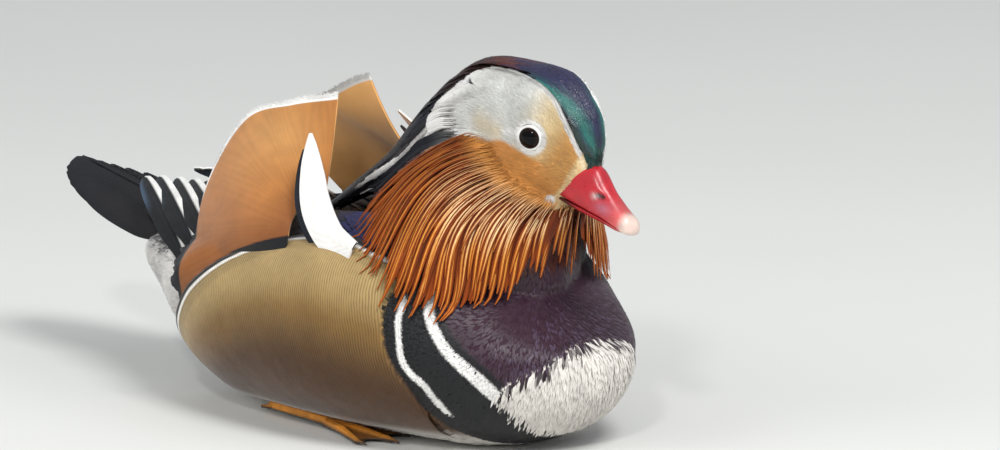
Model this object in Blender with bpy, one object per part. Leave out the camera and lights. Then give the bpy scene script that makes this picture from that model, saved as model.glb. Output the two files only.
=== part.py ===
"""A life-size mandarin drake resting on its belly with its feet tucked under, as a still model.

Sizes are in millimetres and become metres when a mesh is made. +X is forward, +Y is the bird's left
and +Z is up. The origin is on the floor under the middle of the bird's bounding box.
The right half of each pair is modelled and its left half is the mirror image across the XZ plane.
"""

import math
import random

import bmesh
import bpy
from mathutils import Vector

MM = 0.001
GAP = 0.35            # room between two nodes that touch
SHIFT_X = 2.4         # moves the whole bird so that its bounding box is centred on the origin

# The head turns about the point between the eyes, and is pitched down.
EYE_X = 122.0
EYE_Z = 136.0
HEAD_PITCH = math.radians(17.0)

# The torso runs from the rump to the breast, and is a half ellipse in plan at the front.
RUMP_X = -116.0
BREAST_X = 154.5
PLAN_CENTRE_X = 38.0
BREAST_APEX_Z = 42.0


def smooth(knots):
    """A function through (x, value) knots, with no overshoot between them."""
    xs = [k[0] for k in knots]
    ys = [k[1] for k in knots]
    steps = [(ys[i + 1] - ys[i]) / (xs[i + 1] - xs[i]) for i in range(len(xs) - 1)]
    slopes = [steps[0]]
    for before, after in zip(steps, steps[1:]):
        slopes.append(0.0 if before * after <= 0 else 2 * before * after / (before + after))
    slopes.append(steps[-1])

    def at(x):
        x = min(max(x, xs[0]), xs[-1])
        i = max(j for j in range(len(xs) - 1) if xs[j] <= x or j == 0)
        width = xs[i + 1] - xs[i]
        t = (x - xs[i]) / width
        return (ys[i] * (1 + 2 * t) * (1 - t) ** 2 + ys[i + 1] * t * t * (3 - 2 * t)
                + width * (slopes[i] * t * (1 - t) ** 2 - slopes[i + 1] * t * t * (1 - t)))

    return at


def curve(points):
    """A function from 0..1 to a smooth line through 3-D points."""
    points = [Vector(p) for p in points]
    ends = [2 * points[0] - points[1]] + points + [2 * points[-1] - points[-2]]

    def at(t):
        place = min(max(t, 0.0), 1.0) * (len(points) - 1)
        i = min(int(place), len(points) - 2)
        f = place - i
        a, b, c, d = ends[i:i + 4]
        return 0.5 * (2 * b + (c - a) * f + (2 * a - 5 * b + 4 * c - d) * f * f
                      + (3 * b - a - 3 * c + d) * f ** 3)

    return at


def bezier(start, middle, end):
    """A function from 0..1 to a quadratic bend from start to end, pulled towards middle."""
    return lambda t: start * (1 - t) ** 2 + middle * 2 * t * (1 - t) + end * t * t


def flip_side(p):
    return Vector((p.x, -p.y, p.z))


def step(low, high, x):
    """0 below low, 1 above high, and smooth between."""
    t = min(max((x - low) / (high - low), 0.0), 1.0)
    return t * t * (3 - 2 * t)


def round_end(x, start, end, power=2.0):
    """1 before start, falling like an ellipse to 0 at end."""
    q = min(max((x - start) / (end - start), 0.0), 1.0)
    return (1 - q ** power) ** (1 / power)


def crowded(low, high, count):
    """Stations from low to high, closer together at both ends."""
    return [low + (high - low) * (1 - math.cos(math.pi * i / (count - 1))) / 2 for i in range(count)]


def make(name, points, faces):
    """A mesh object from points in millimetres, with its faces turned outwards."""
    mesh = bpy.data.meshes.new(name)
    mesh.from_pydata([((p[0] + SHIFT_X) * MM, p[1] * MM, p[2] * MM) for p in points], [], faces)
    work = bmesh.new()
    work.from_mesh(mesh)
    bmesh.ops.recalc_face_normals(work, faces=work.faces)
    work.to_mesh(mesh)
    work.free()
    made = bpy.data.objects.new(name, mesh)
    bpy.context.scene.collection.objects.link(made)
    return made


def loft(name, rings):
    """A closed body through rings of equal counts. A ring of one point is a pole.

    Faces on the bird's left are split as mirror images of those on its right.
    """
    points, faces, starts = [], [], []
    for ring in rings:
        starts.append(len(points))
        points.extend(ring)
    for i in range(len(rings) - 1):
        a, b = starts[i], starts[i + 1]
        na, nb = len(rings[i]), len(rings[i + 1])
        count = max(na, nb)
        for j in range(count):
            k = (j + 1) % count
            if na == 1:
                faces.append((a, b + j, b + k))
            elif nb == 1:
                faces.append((a + j, b, a + k))
            elif sum(points[v].y for v in (a + j, a + k, b + j, b + k)) < 0:
                faces += [(a + j, b + j, b + k), (a + j, b + k, a + k)]
            else:
                faces += [(a + j, b + j, a + k), (a + k, b + j, b + k)]
    return make(name, points, faces)


def sheet_faces(high, wide):
    """The faces of a closed sheet whose two sides are grids of points, split alike on both sides."""
    faces = []
    back = high * wide
    for i in range(high - 1):
        for j in range(wide - 1):
            a, b = i * wide + j, i * wide + j + 1
            c, d = a + wide + 1, a + wide
            for face in ((a, b, c), (a, c, d)):
                faces.append(face)
                faces.append(tuple(back + v for v in reversed(face)))
    rim = ([i * wide for i in range(high)] + [(high - 1) * wide + j for j in range(1, wide)]
           + [i * wide + wide - 1 for i in range(high - 2, -1, -1)] + [j for j in range(wide - 2, 0, -1)])
    for a, b in zip(rim, rim[1:] + rim[:1]):
        faces.append((a, b, back + b))
        faces.append((a, back + b, back + a))
    return faces


def plate(name, rows, thickness, normals):
    """A thin closed sheet over a grid of middle points, split alike on both faces."""
    points = []
    for side in (0.5, -0.5):
        for row, ups, thick in zip(rows, normals, thickness):
            points.extend(p + up * thick * side for p, up in zip(row, ups))
    return make(name, points, sheet_faces(len(rows), len(rows[0])))


def vane(name, path, width, normal, thickness=0.8, tilt=0.0, rows=6, across=1, camber=0.0, tip=0.4):
    """One feather: a cambered blade along path, widest in its middle and tapered to its tip.

    normal is the way its upper face looks, as a vector or a function of 0..1. tilt turns it about its shaft.
    tip is the share of its width that is left at its tip.
    """
    grid, normals, sheets = [], [], []
    for i in range(rows):
        t = i / (rows - 1)
        here = path(t)
        ahead = (path(min(t + 0.02, 1.0)) - path(max(t - 0.02, 0.0))).normalized()
        up = normal(t) if callable(normal) else normal
        side = ahead.cross(up).normalized()
        up = side.cross(ahead).normalized()
        up, side = up * math.cos(tilt) + side * math.sin(tilt), side * math.cos(tilt) - up * math.sin(tilt)
        spread = width * (0.55 + 0.45 * step(0, 0.35, t)) * (tip + (1 - tip) * round_end(t, 0.5, 1.0, 2.2))
        line, ups = [], []
        for j in range(across + 1):
            s = 2 * j / across - 1
            line.append(here + side * s * spread / 2 + up * camber * spread * (1 - s * s))
            ups.append(up)
        grid.append(line)
        normals.append(ups)
        sheets.append(max(0.5, thickness * (1 - 0.4 * t)))
    return plate(name, grid, sheets, normals)


def lock(name, path, width, thick, normal, rows=6, root=0.4, widest=0.55):
    """A flat lock of four sides along path: narrow at its root, widest part way and pointed at its tip."""
    rings = []
    for i in range(rows):
        t = i / rows
        here = path(t)
        ahead = (path(t + 0.02) - path(max(t - 0.02, 0.0))).normalized()
        side = ahead.cross(normal(t)).normalized()
        up = side.cross(ahead).normalized()
        spread = (root + (1 - root) * step(0, widest, t)) * round_end(t, widest, 1.0, 1.6)
        flat = 1 - 0.5 * t
        rings.append([here + side * width / 2 * spread, here + up * thick / 2 * flat,
                      here - side * width / 2 * spread, here - up * thick / 2 * flat])
    first = sum(rings[0], Vector()) / 4
    return loft(name, [[first]] + rings + [[path(1.0)]])


def evaluated(obj):
    """Applies obj's modifiers."""
    graph = bpy.context.evaluated_depsgraph_get()
    mesh = bpy.data.meshes.new_from_object(obj.evaluated_get(graph))
    obj.modifiers.clear()
    obj.data = mesh
    return obj


def remove(objects):
    for obj in list(objects):
        bpy.data.objects.remove(obj)


def boolean(obj, others, operation):
    """Joins others to obj, or cuts them from it, and removes them."""
    group = bpy.data.collections.new("operands")
    for other in others:
        group.objects.link(other)
    modifier = obj.modifiers.new("boolean", "BOOLEAN")
    modifier.operation = operation
    modifier.operand_type = "COLLECTION"
    modifier.collection = group
    modifier.solver = "MANIFOLD"
    bpy.context.view_layer.update()
    evaluated(obj)
    remove(group.objects)
    bpy.data.collections.remove(group)
    return obj


def volume_of(faces):
    return sum(f.verts[0].co.dot(f.verts[i].co.cross(f.verts[i + 1].co)) / 6
               for f in faces for i in range(1, len(f.verts) - 1))


def keep_largest(obj):
    """Keeps only the largest closed surface of obj."""
    work = bmesh.new()
    work.from_mesh(obj.data)
    left = set(work.faces)
    bodies = []
    while left:
        body, edge = set(), [left.pop()]
        while edge:
            face = edge.pop()
            body.add(face)
            for side in face.edges:
                for near in side.link_faces:
                    if near in left:
                        left.discard(near)
                        edge.append(near)
        bodies.append(body)
    bodies.sort(key=lambda body: abs(volume_of(body)), reverse=True)
    loose = [f for body in bodies[1:] for f in body]
    bmesh.ops.delete(work, geom=loose, context="FACES")
    bmesh.ops.delete(work, geom=[v for v in work.verts if not v.link_faces], context="VERTS")
    bmesh.ops.triangulate(work, faces=work.faces)
    work.to_mesh(obj.data)
    work.free()
    return obj


def node(name, pieces, cutters, material, smooth_angle=35.0):
    """One node: its pieces joined, what touches it cut away, and its material set."""
    base = pieces[0]
    if pieces[1:]:
        boolean(base, pieces[1:], "UNION")
    if cutters:
        boolean(base, cutters, "DIFFERENCE")
    keep_largest(base)
    base.name = name
    base.data.name = name
    base.data.materials.clear()
    base.data.materials.append(material)
    base.data.shade_smooth()
    base.data.set_sharp_from_angle(angle=math.radians(smooth_angle))
    return base


def turn_over(obj):
    """Makes obj its own mirror image."""
    for v in obj.data.vertices:
        v.co.y = -v.co.y
    obj.data.flip_normals()


def mirrored(obj, name):
    """The left half of a pair, from its right half."""
    other = obj.copy()
    other.data = obj.data.copy()
    other.name = name
    other.data.name = name
    turn_over(other)
    bpy.context.scene.collection.objects.link(other)
    return other


def grown(obj, amount=GAP):
    """Moves every face of obj outwards by at least amount, so that it can cut what touches it."""
    mesh = obj.data
    least = {v.index: 1.0 for v in mesh.vertices}
    for face in mesh.polygons:
        for i in face.vertices:
            least[i] = min(least[i], mesh.vertices[i].normal.dot(face.normal))
    places = [v.co + v.normal * amount * MM / max(0.4, least[v.index]) for v in mesh.vertices]
    for v, place in zip(mesh.vertices, places):
        v.co = place
    return obj


def both_sides(obj):
    return [obj, mirrored(obj, obj.name)]


def finish(name, colour, roughness):
    material = bpy.data.materials.new(name)
    material.use_nodes = True
    shader = material.node_tree.nodes["Principled BSDF"]
    shader.inputs["Base Color"].default_value = (*colour, 1.0)
    shader.inputs["Roughness"].default_value = roughness
    return material


# Torso

TORSO_TOP = smooth([(-116, 62), (-80, 71), (-40, 81), (0, 87), (45, 92), (88, 89), (115, 75), (135, 64),
                    (158, 55)])
TORSO_POWER = smooth([(-116, 2.2), (-50, 2.5), (0, 2.8), (60, 2.8), (98, 2.3), (158, 2.0)])
TORSO_BOTTOM = smooth([(-116, 52), (-90, 33), (-70, 17), (-45, 3), (-20, -2), (158, -2)])
TORSO_WAIST = smooth([(-116, 58), (-60, 52), (-10, 45), (60, 42), (158, 42)])
TORSO_WIDTH = smooth([(-116, 22), (-85, 37), (-50, 57), (-10, 68), (38, 72), (100, 70), (158, 68)])
# The line along which the flank's feathers end over the wing
FLANK_LINE = smooth([(-58, 30), (-51, 41), (-37, 56), (-6, 75), (25, 84), (45, 86), (62, 84), (92, 78)])
FLANK_REAR_X = -60.0
FLANK_FRONT_X = 92.0
WING_RECESS = 6.0
LIP_ANGLE = 0.02
BACK_GROOVE = 3.0     # the back is hollow between the wings
BELLY_POWER = 2.3


def torso_section(x, grow):
    """(half width, top, bottom, waist) of the torso at x."""
    front = round_end(x, PLAN_CENTRE_X, BREAST_X + grow)
    rear = round_end(-x, 98.0, -RUMP_X + grow)
    width = TORSO_WIDTH(x) * front * rear + grow
    waist = TORSO_WAIST(x)
    top = waist + (TORSO_TOP(x) - waist) * round_end(x, 90.0, BREAST_X + grow) * rear + grow
    low = waist - (waist - TORSO_BOTTOM(x)) * round_end(x, 95.0, BREAST_X + grow) * rear - grow
    return width, top, low, waist


def torso_point(x, angle, grow=0.0, recess=0.0):
    """A point of the torso. angle is 0 at the right side and a quarter turn at the top of the back."""
    width, top, low, waist = torso_section(x, grow)
    c, s = math.cos(angle), math.sin(angle)
    power = TORSO_POWER(x) if s > 0 else BELLY_POWER
    y = -width * math.copysign(abs(c) ** (2 / power), c)
    z = waist + (top - waist if s > 0 else waist - low) * math.copysign(abs(s) ** (2 / power), s)
    along = step(-90, -50, x) * (1 - step(60, 95, x))
    z -= BACK_GROOVE * math.exp(-(y / 11) ** 2) * along * (s > 0)
    point = Vector((x, y, z)) - Vector((0, -c, s)) * recess
    point.z = max(point.z, -grow)
    return point


def outside(p, lift):
    """p, moved away from the torso's middle where needed to lie lift outside it and its wings."""
    if not RUMP_X < p.x < BREAST_X:
        return p
    width, top, low, waist = torso_section(p.x, 0)
    high = p.z > waist
    power = TORSO_POWER(p.x) if high else BELLY_POWER
    half = top - waist if high else waist - low
    reach = ((abs(p.y) / width) ** power + (abs(p.z - waist) / half) ** power) ** (1 / power)
    out = Vector((0, p.y, p.z - waist))
    if WING_REAR_X - 18 < p.x < WING_FRONT_X + 8:
        lift += max(0.0, wing_lift(p.x, p))
    wanted = out.length / max(reach, 0.01) + lift
    return p if out.length >= wanted else Vector((p.x, 0, waist)) + out.normalized() * wanted


def side_angle(x, z):
    """The angle at which the torso's right side has height z."""
    width, top, low, waist = torso_section(x, 0)
    share = (z - waist) / (top - waist if z > waist else waist - low)
    power = TORSO_POWER(x) if z > waist else BELLY_POWER
    return math.copysign(math.asin(min(0.96, abs(share)) ** (power / 2)), share)


def back_angle(x, reach):
    """The angle at which the torso's right side is reach from the middle of the back."""
    return math.acos(min(0.98, reach / torso_section(x, 0)[0]) ** (TORSO_POWER(x) / 2))


def torso(name, recess=WING_RECESS, stations=29, under=8, over=8):
    """The torso, with a recess for each wing above the flank's feathers."""
    rings = []
    for x in crowded(RUMP_X, BREAST_X, stations)[1:-1]:
        edge = side_angle(x, FLANK_LINE(x))
        lip, floor = edge - LIP_ANGLE, edge + LIP_ANGLE
        ahead = step(FLANK_FRONT_X - 6, FLANK_FRONT_X + 6, x)
        along = step(FLANK_REAR_X - 12, FLANK_REAR_X, x) * (1 - ahead)
        right = []
        for i in range(under):
            right.append(torso_point(x, -math.pi / 2 + (lip + math.pi / 2) * (i + 0.5) / (under - 0.5)))
        for i in range(over):
            angle = floor + (math.pi / 2 - floor) * i / (over - 0.5)
            inset = recess * along * step(3.0, 14.0, abs(torso_point(x, angle).y))
            right.append(torso_point(x, angle, 0.0, inset))
        rings.append(right + [flip_side(p) for p in reversed(right)])
    tail_end = Vector((RUMP_X, 0, TORSO_WAIST(RUMP_X)))
    front_end = Vector((BREAST_X, 0, BREAST_APEX_Z))
    return loft(name, [[tail_end]] + rings + [[front_end]])


# Head, in its own frame: along is towards the bill, side is to the right, up is towards the crown

FORWARD = Vector((math.cos(HEAD_PITCH), 0, -math.sin(HEAD_PITCH)))
UPWARD = Vector((math.sin(HEAD_PITCH), 0, math.cos(HEAD_PITCH)))
RIGHT = Vector((0, -1, 0))
HEAD_ORIGIN = Vector((EYE_X, 0, EYE_Z))


def head_place(along, side, up):
    return HEAD_ORIGIN + FORWARD * along + RIGHT * side + UPWARD * up


HEAD_BACK, HEAD_FRONT = -60.0, 29.0
# Its section is a little fuller than an ellipse, and nearly square over the brow.
HEAD_POWER = 2.1
HEAD_POWER_OVER = smooth([(-60, 2.1), (-32, 2.5), (-8, 3.8), (8, 3.6), (18, 2.8), (29, 2.2)])
HEAD_TOP = smooth([(-60, -4), (-50, 6), (-36, 13.5), (-22, 18.2), (-5, 22), (6, 20.8), (14, 16.3), (22, 8.5),
                   (29, -2)])
HEAD_BOTTOM = smooth([(-60, -30), (-40, -38), (-15, -38), (5, -33), (15, -28.5), (22, -25), (29, -16)])
HEAD_WIDTH = smooth([(-60, 10), (-45, 14), (-25, 17.5), (-8, 18), (3, 16.5), (13, 13), (22, 9.5), (29, 7)])
HEAD_WAIST = smooth([(-60, -18), (-25, -14), (0, -13), (15, -10), (29, -5)])


def head_section(along):
    ends = round_end(along, 18.0, HEAD_FRONT) * round_end(-along, 44.0, -HEAD_BACK)
    waist = HEAD_WAIST(along)
    width = HEAD_WIDTH(along) * ends
    top = waist + (HEAD_TOP(along) - waist) * ends
    low = waist - (waist - HEAD_BOTTOM(along)) * ends
    return width, top, low, waist


def head_point(along, angle):
    """A point of the head. angle is 0 at its right side and a quarter turn at the crown."""
    width, top, low, waist = head_section(along)
    c, s = math.cos(angle), math.sin(angle)
    power = HEAD_POWER_OVER(along) if s > 0 else HEAD_POWER
    side = width * math.copysign(abs(c) ** (2 / power), c)
    up = waist + (top - waist if s > 0 else waist - low) * math.copysign(abs(s) ** (2 / power), s)
    return head_place(along, side, up)


def head_surface(along, up):
    """The point of the head's right side at a height up."""
    width, top, low, waist = head_section(along)
    share = (up - waist) / (top - waist) if up > waist else (waist - up) / (waist - low)
    power = HEAD_POWER_OVER(along) if up > waist else HEAD_POWER
    return head_place(along, width * max(0.0, 1 - share ** power) ** (1 / power), up)


def head_body(name, stations=16, around=20):
    rings = []
    for along in crowded(HEAD_BACK, HEAD_FRONT, stations)[1:-1]:
        rings.append([head_point(along, 2 * math.pi * (i + 0.5) / around) for i in range(around)])
    back = head_place(HEAD_BACK, 0, HEAD_WAIST(HEAD_BACK))
    front = head_place(HEAD_FRONT, 0, HEAD_WAIST(HEAD_FRONT))
    return loft(name, [[back]] + rings + [[front]])


EYE_RADIUS = 6.2
EYE_SUNK = 4.2        # how far the ball's centre lies under the skin
EYE_ALONG = 2.3
EYE_AHEAD = 0.2       # how far it is turned to look ahead
LID_RADIUS = 4.6
LID_THICK = 0.9


def eye_axis():
    """(the eye's place on the skin, the way that it looks)"""
    skin = head_surface(EYE_ALONG, 0.0)
    ahead = head_surface(EYE_ALONG + 2.0, 0.0) - head_surface(EYE_ALONG - 2.0, 0.0)
    above = head_surface(EYE_ALONG, 2.0) - head_surface(EYE_ALONG, -2.0)
    look = ahead.cross(above).normalized()
    look = look if look.y < 0 else -look
    return skin, (look + FORWARD * EYE_AHEAD).normalized()


def ball(name, centre, radius, around=16, rows=10, pole=Vector((0, 0, 1))):
    """A sphere with its poles on an axis."""
    side = pole.orthogonal().normalized()
    third = pole.cross(side)
    rings = []
    for i in range(1, rows):
        a = math.pi * i / rows
        rings.append([centre + pole * radius * math.cos(a)
                      + (side * math.cos(b) + third * math.sin(b)) * radius * math.sin(a)
                      for b in (2 * math.pi * j / around for j in range(around))])
    return loft(name, [[centre + pole * radius]] + rings + [[centre - pole * radius]])


def ring_tube(name, centre, axis, radius, thick, around=14, sides=4):
    """A torus, as the rim of an eyelid."""
    side = axis.orthogonal().normalized()
    third = axis.cross(side)
    points, faces = [], []
    for j in range(around):
        b = 2 * math.pi * j / around
        out = side * math.cos(b) + third * math.sin(b)
        for k in range(sides):
            a = 2 * math.pi * k / sides
            points.append(centre + out * (radius + thick * math.cos(a)) + axis * thick * math.sin(a))
    for j in range(around):
        for k in range(sides):
            a, b = j * sides + k, j * sides + (k + 1) % sides
            c, d = (j + 1) % around * sides + (k + 1) % sides, (j + 1) % around * sides + k
            faces += [(a, b, c), (a, c, d)]
    return make(name, points, faces)


# Bill

BILL_TIP = 56.5
BILL_ROOT = 12.0
TOMIUM = -20.9        # the line between the mandibles
CULMEN = smooth([(8, -2), (29, -3.6), (38, -9.5), (47, -14.2), (53, -16.6), (58, -19)])
BILL_WIDTH = smooth([(8, 7.6), (20, 8.2), (32, 7.2), (42, 6.1), (50, 5.8), (58, 5.0)])
BILL_EDGE = smooth([(8, -20.9), (40, -20.9), (50, -21.4), (58, -23.0)])
BILL_POWER = 0.85     # its section is a little fuller than an ellipse
BILL_WAIST = 0.32     # how far up a section is widest
NOSTRIL = (37.5, 5.6, -12.6)
NOSTRIL_RADIUS = 1.0
NOSTRIL_STRETCH = 1.6
LOWER_WIDTH = 0.84    # the lower mandible's width, as a share of the upper one's


def mandible(name, root, tip, top_of, low_of, width_of, cap, stations=12, around=14):
    rings = []
    for i in range(stations):
        along = root + (tip - root) * math.sin(math.pi / 2 * i / stations)
        ends = round_end(along, cap, tip, 2.2)
        top, low = top_of(along), low_of(along)
        middle = low + (top - low) * BILL_WAIST
        ring = []
        for j in range(around):
            a = 2 * math.pi * (j + 0.5) / around
            c, s = math.cos(a), math.sin(a)
            side = width_of(along) * ends * math.copysign(abs(c) ** BILL_POWER, c)
            reach = ((top - middle) if s > 0 else (middle - low)) * max(ends, 0.25)
            ring.append(head_place(along, side, middle + reach * math.copysign(abs(s) ** BILL_POWER, s)))
        rings.append(ring)
    first = head_place(root, 0, (top_of(root) + low_of(root)) / 2)
    last = head_place(tip, 0, low_of(tip) + (top_of(tip) - low_of(tip)) * BILL_WAIST)
    return loft(name, [[first]] + rings + [[last]])


def upper_mandible():
    body = mandible("bill_upper", BILL_ROOT, BILL_TIP, CULMEN, BILL_EDGE, BILL_WIDTH, 52.0)
    pits = []
    for side in (1, -1):
        along, out, up = NOSTRIL
        centre = head_place(along, side * out, up)
        pit = ball("nostril", centre, NOSTRIL_RADIUS, 8, 5)
        centre += Vector((SHIFT_X, 0, 0))
        for v in pit.data.vertices:
            local = v.co / MM - centre
            v.co = (centre + local + FORWARD * local.dot(FORWARD) * NOSTRIL_STRETCH) * MM
        pits.append(pit)
    return body, pits


def lower_mandible():
    top = lambda along: BILL_EDGE(along) - GAP
    low = smooth([(8, -25.2), (30, -25.2), (46, -24.4), (56, -24.0)])
    width = lambda along: BILL_WIDTH(along) * LOWER_WIDTH
    return mandible("bill_lower", BILL_ROOT, 54.5, top, low, width, 46.0, 10, 12)


# Ruff: whiskers fan out from the cheek over the neck and the upper breast

RUFF_ROOTS = curve([(93, -14, 138), (98, -18, 133), (104, -20, 126), (112, -20.5, 119), (121, -18.5, 114),
                    (128.5, -13.5, 109.5), (134.5, -6, 105.5)])
RUFF_TIPS = curve([(33, -24, 94), (44, -38, 92), (55, -49, 83), (71, -58.5, 74), (84.5, -62, 67.5),
                   (96, -58.5, 63.5), (107, -48.5, 62.5), (114, -38, 65.5), (122, -25, 71), (128, -11, 84)])
RUFF_BULGE = 8.0      # how far the ruff swells at the cheek; it lies flat at the throat
NAPE = curve([(60, 0, 134), (42, 0, 118.5), (24, 0, 103)])
THROAT = curve([(130, 0, 108), (128, 0, 97), (126, 0, 84)])
NECK_AXIS_X = 96.0


def ruff_line(a):
    """A whisker's line at fan place a, from 0 at the nape's side to 1 at the throat."""
    root, tip = RUFF_ROOTS(a), RUFF_TIPS(a)
    middle = (root + tip) / 2
    out = Vector((middle.x - NECK_AXIS_X, middle.y, 0)).normalized()
    swell = RUFF_BULGE * (1 - step(0.35, 0.85, a))
    return bezier(root, middle + out * swell + Vector((0, 0, 5)), tip)


def ruff_out(a, r=0.5):
    """The way the ruff's surface faces."""
    here = ruff_line(a)
    down = here(min(r + 0.05, 1)) - here(max(r - 0.05, 0))
    across = ruff_line(min(a + 0.05, 1))(r) - ruff_line(max(a - 0.05, 0))(r)
    out = down.cross(across).normalized()
    return out if out.dot(Vector((here(r).x - NECK_AXIS_X, here(r).y, 10))) > 0 else -out


def ruff_point(a, r, lift=0.0):
    return ruff_line(a)(r) + ruff_out(a, r) * lift


def neck_ring(r, sunk, fan=8):
    right = []
    for i in range(fan):
        a = i / (fan - 1)
        right.append(ruff_point(a, r, -sunk * (1 - 0.5 * step(0.75, 1, a)) * (0.4 + 0.6 * step(0, 0.3, a))))
    nape, throat = NAPE(r) + Vector((sunk * 0.3, 0, 0)), THROAT(r) - Vector((sunk * 0.5, 0, 0))
    between = (nape + right[0]) / 2 + Vector((-3, -2, 1))
    right = [between] + right
    left = [flip_side(p) for p in reversed(right)]
    return [nape] + right + [throat] + left


def oval(centre, half_x, half_y, count):
    """A level oval ring that starts at the nape and turns by the right side."""
    angles = [2 * math.pi * i / count for i in range(count)]
    return [centre - Vector((half_x * math.cos(a), half_y * math.sin(a), 0)) for a in angles]


def neck_body(name, depths):
    """The neck from inside the head to inside the torso.

    depths is [(place along the ruff, depth under it)].
    """
    rings = [neck_ring(r, sunk) for r, sunk in depths]
    count = len(rings[0])
    top = [oval(Vector((98, 0, 139)), 22, 10, count)]
    low = [oval(Vector((94, 0, 70)), 30, 26, count), oval(Vector((94, 0, 58)), 24, 20, count)]
    return loft(name, [[Vector((98, 0, 142))]] + top + rings + low + [[Vector((94, 0, 55))]])


RUFF_LOCKS = 9        # in each layer of each side
RUFF_LOCK_WIDTH = 13.5
RUFF_LOCK_THICK = 1.5
NECK_DEPTHS = [(0.0, 1.0), (0.15, 0.3), (0.3, 0.4), (0.48, 3.0), (0.72, 6.5), (1.0, 9.0)]
RUFF_LAYERS = 2.1     # from one layer to the next


def ruff_lock(a, first, last, lift, width, drift):
    """One lock of the ruff's right side, from place first to place last of its line."""
    def place(t):
        return min(max(a + drift * t * t, 0.0), 1.0), first + (last - first) * t

    def path(t):
        at, r = place(t)
        return outside(ruff_point(at, r, lift - (lift + 2.5) * (1 - step(0, 0.12, t))), 1.3 + lift)

    return lock("lock", path, width, RUFF_LOCK_THICK, lambda t: ruff_out(*place(t)), 5, 0.3, 0.6)


def ruff_locks():
    """The locks of the right side's ruff, in two layers that overlap."""
    draw = random.Random(7)
    locks = []
    for i in range(RUFF_LOCKS):
        locks.append(ruff_lock((i + 0.5) / RUFF_LOCKS, 0.04, draw.uniform(0.97, 1.05), 0.0,
                               RUFF_LOCK_WIDTH * draw.uniform(0.9, 1.1), draw.uniform(-0.01, 0.01)))
    for i in range(1, RUFF_LOCKS):
        locks.append(ruff_lock(i / RUFF_LOCKS, 0.08, draw.uniform(0.86, 0.97), RUFF_LAYERS,
                               RUFF_LOCK_WIDTH * draw.uniform(0.85, 1.05), draw.uniform(-0.012, 0.012)))
    return locks


# Crest: from the forehead over the crown, down the nape to its tips on the back

CREST_LINE = curve([head_place(along, 0, up) for along, up in
                    ((27.8, 0.5), (22, 8.3), (15, 14.6), (-3, 20.8), (-24, 15.6), (-40, 8), (-51, -6),
                     (-61, -25), (-75, -49), (-108, -84))])
CREST_WIDTH = smooth([(0, 5.5), (0.11, 8.7), (0.22, 11), (0.33, 14.3), (0.5, 15.8), (0.64, 17.5), (0.8, 17),
                      (0.91, 14), (1, 4)])
CREST_THICK = smooth([(0, 2.2), (0.22, 4), (0.46, 5), (0.64, 7), (0.82, 6.5), (0.93, 4.5), (1, 1.5)])
# How far its sides come down over the head's
CREST_DROOP = smooth([(0, 1), (0.11, 2), (0.22, 2), (0.33, 1.2), (0.44, 4), (0.55, 5.5), (0.64, 3.5),
                      (0.72, 0.5), (0.76, 0)])


def crest_frame(t):
    """(centre, the way out of the head) on the crest's line."""
    ahead = (CREST_LINE(min(t + 0.02, 1)) - CREST_LINE(max(min(t, 1) - 0.02, 0))).normalized()
    out = ahead.cross(RIGHT).normalized()
    centre = CREST_LINE(t) + ahead * 100 * max(0.0, t - 1)
    return centre, out if out.dot(centre - Vector((90, 0, 120))) > 0 else -out


def crest_point(t, angle, lift=0.0):
    """A point of the crest's surface. angle is 0 on its right edge and a quarter turn on its ridge."""
    centre, out = crest_frame(t)
    rise = (CREST_THICK(t) + lift) * math.sin(angle) - CREST_DROOP(t) * math.cos(angle) ** 2
    return centre + RIGHT * (CREST_WIDTH(t) + lift) * math.cos(angle) + out * rise


def crest_body(name, last=0.7, thin=1.2, stations=9, around=10):
    rings = []
    for i in range(stations):
        t = last * i / (stations - 1)
        rings.append([crest_point(t, 2 * math.pi * (j + 0.5) / around, -thin) for j in range(around)])
    start = CREST_LINE(0) + FORWARD * 1.5
    end = CREST_LINE(last) + (CREST_LINE(last) - CREST_LINE(last - 0.02)) * 1.5
    return loft(name, [[start]] + rings + [[end]])


CREST_TIERS = [(0.03, 0.42, 4), (0.3, 0.64, 4), (0.48, 0.86, 4), (0.64, 1.03, 5)]
CREST_FEATHER_WIDTH = 8.6
CREST_SUNK, CREST_RAISED = -2.6, 1.0


def crest_feathers():
    """The crest's feathers in tiers from the brow to the tips on the back, each on the one before it."""
    draw = random.Random(11)
    made = []
    for first, last, count in CREST_TIERS:
        for i in range(count):
            spread = math.radians(12 + 156 * (i + 0.5) / count)
            until = last - 0.05 * abs(math.cos(spread)) + draw.uniform(-0.015, 0.015)

            def path(t, spread=spread, until=until):
                at = first + (until - first) * t
                narrow = 1 - 0.25 * step(0.75, 1, at)
                angle = math.pi / 2 + (spread - math.pi / 2) * narrow
                return crest_point(at, angle, CREST_SUNK + (CREST_RAISED - CREST_SUNK) * t)

            def up(t, spread=spread, until=until):
                centre, out = crest_frame(first + (until - first) * t)
                return RIGHT * math.cos(spread) + out * math.sin(spread)

            made.append(lock("crest_feather", path, CREST_FEATHER_WIDTH, 1.3, up, 4, 0.6, 0.5))
    return made


# Wing: a shell over the torso's recess, with the flight feathers' tips crossed over the rump

WING_REAR_X, WING_FRONT_X = -50.0, 88.0
WING_TUCK = 4.2       # how far its lower edge lies under the flank's feathers
SCAPULAR_RIDGE = 3.5


def wing_lift(x, point):
    """How far the wing's surface lies outside the torso's own."""
    lift = -WING_TUCK + (WING_TUCK + 1.0) * step(0, 16, point.z - FLANK_LINE(x))
    return lift + SCAPULAR_RIDGE * math.exp(-((abs(point.y) - 27) / 10) ** 2) * step(-50, -20, x)


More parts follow.
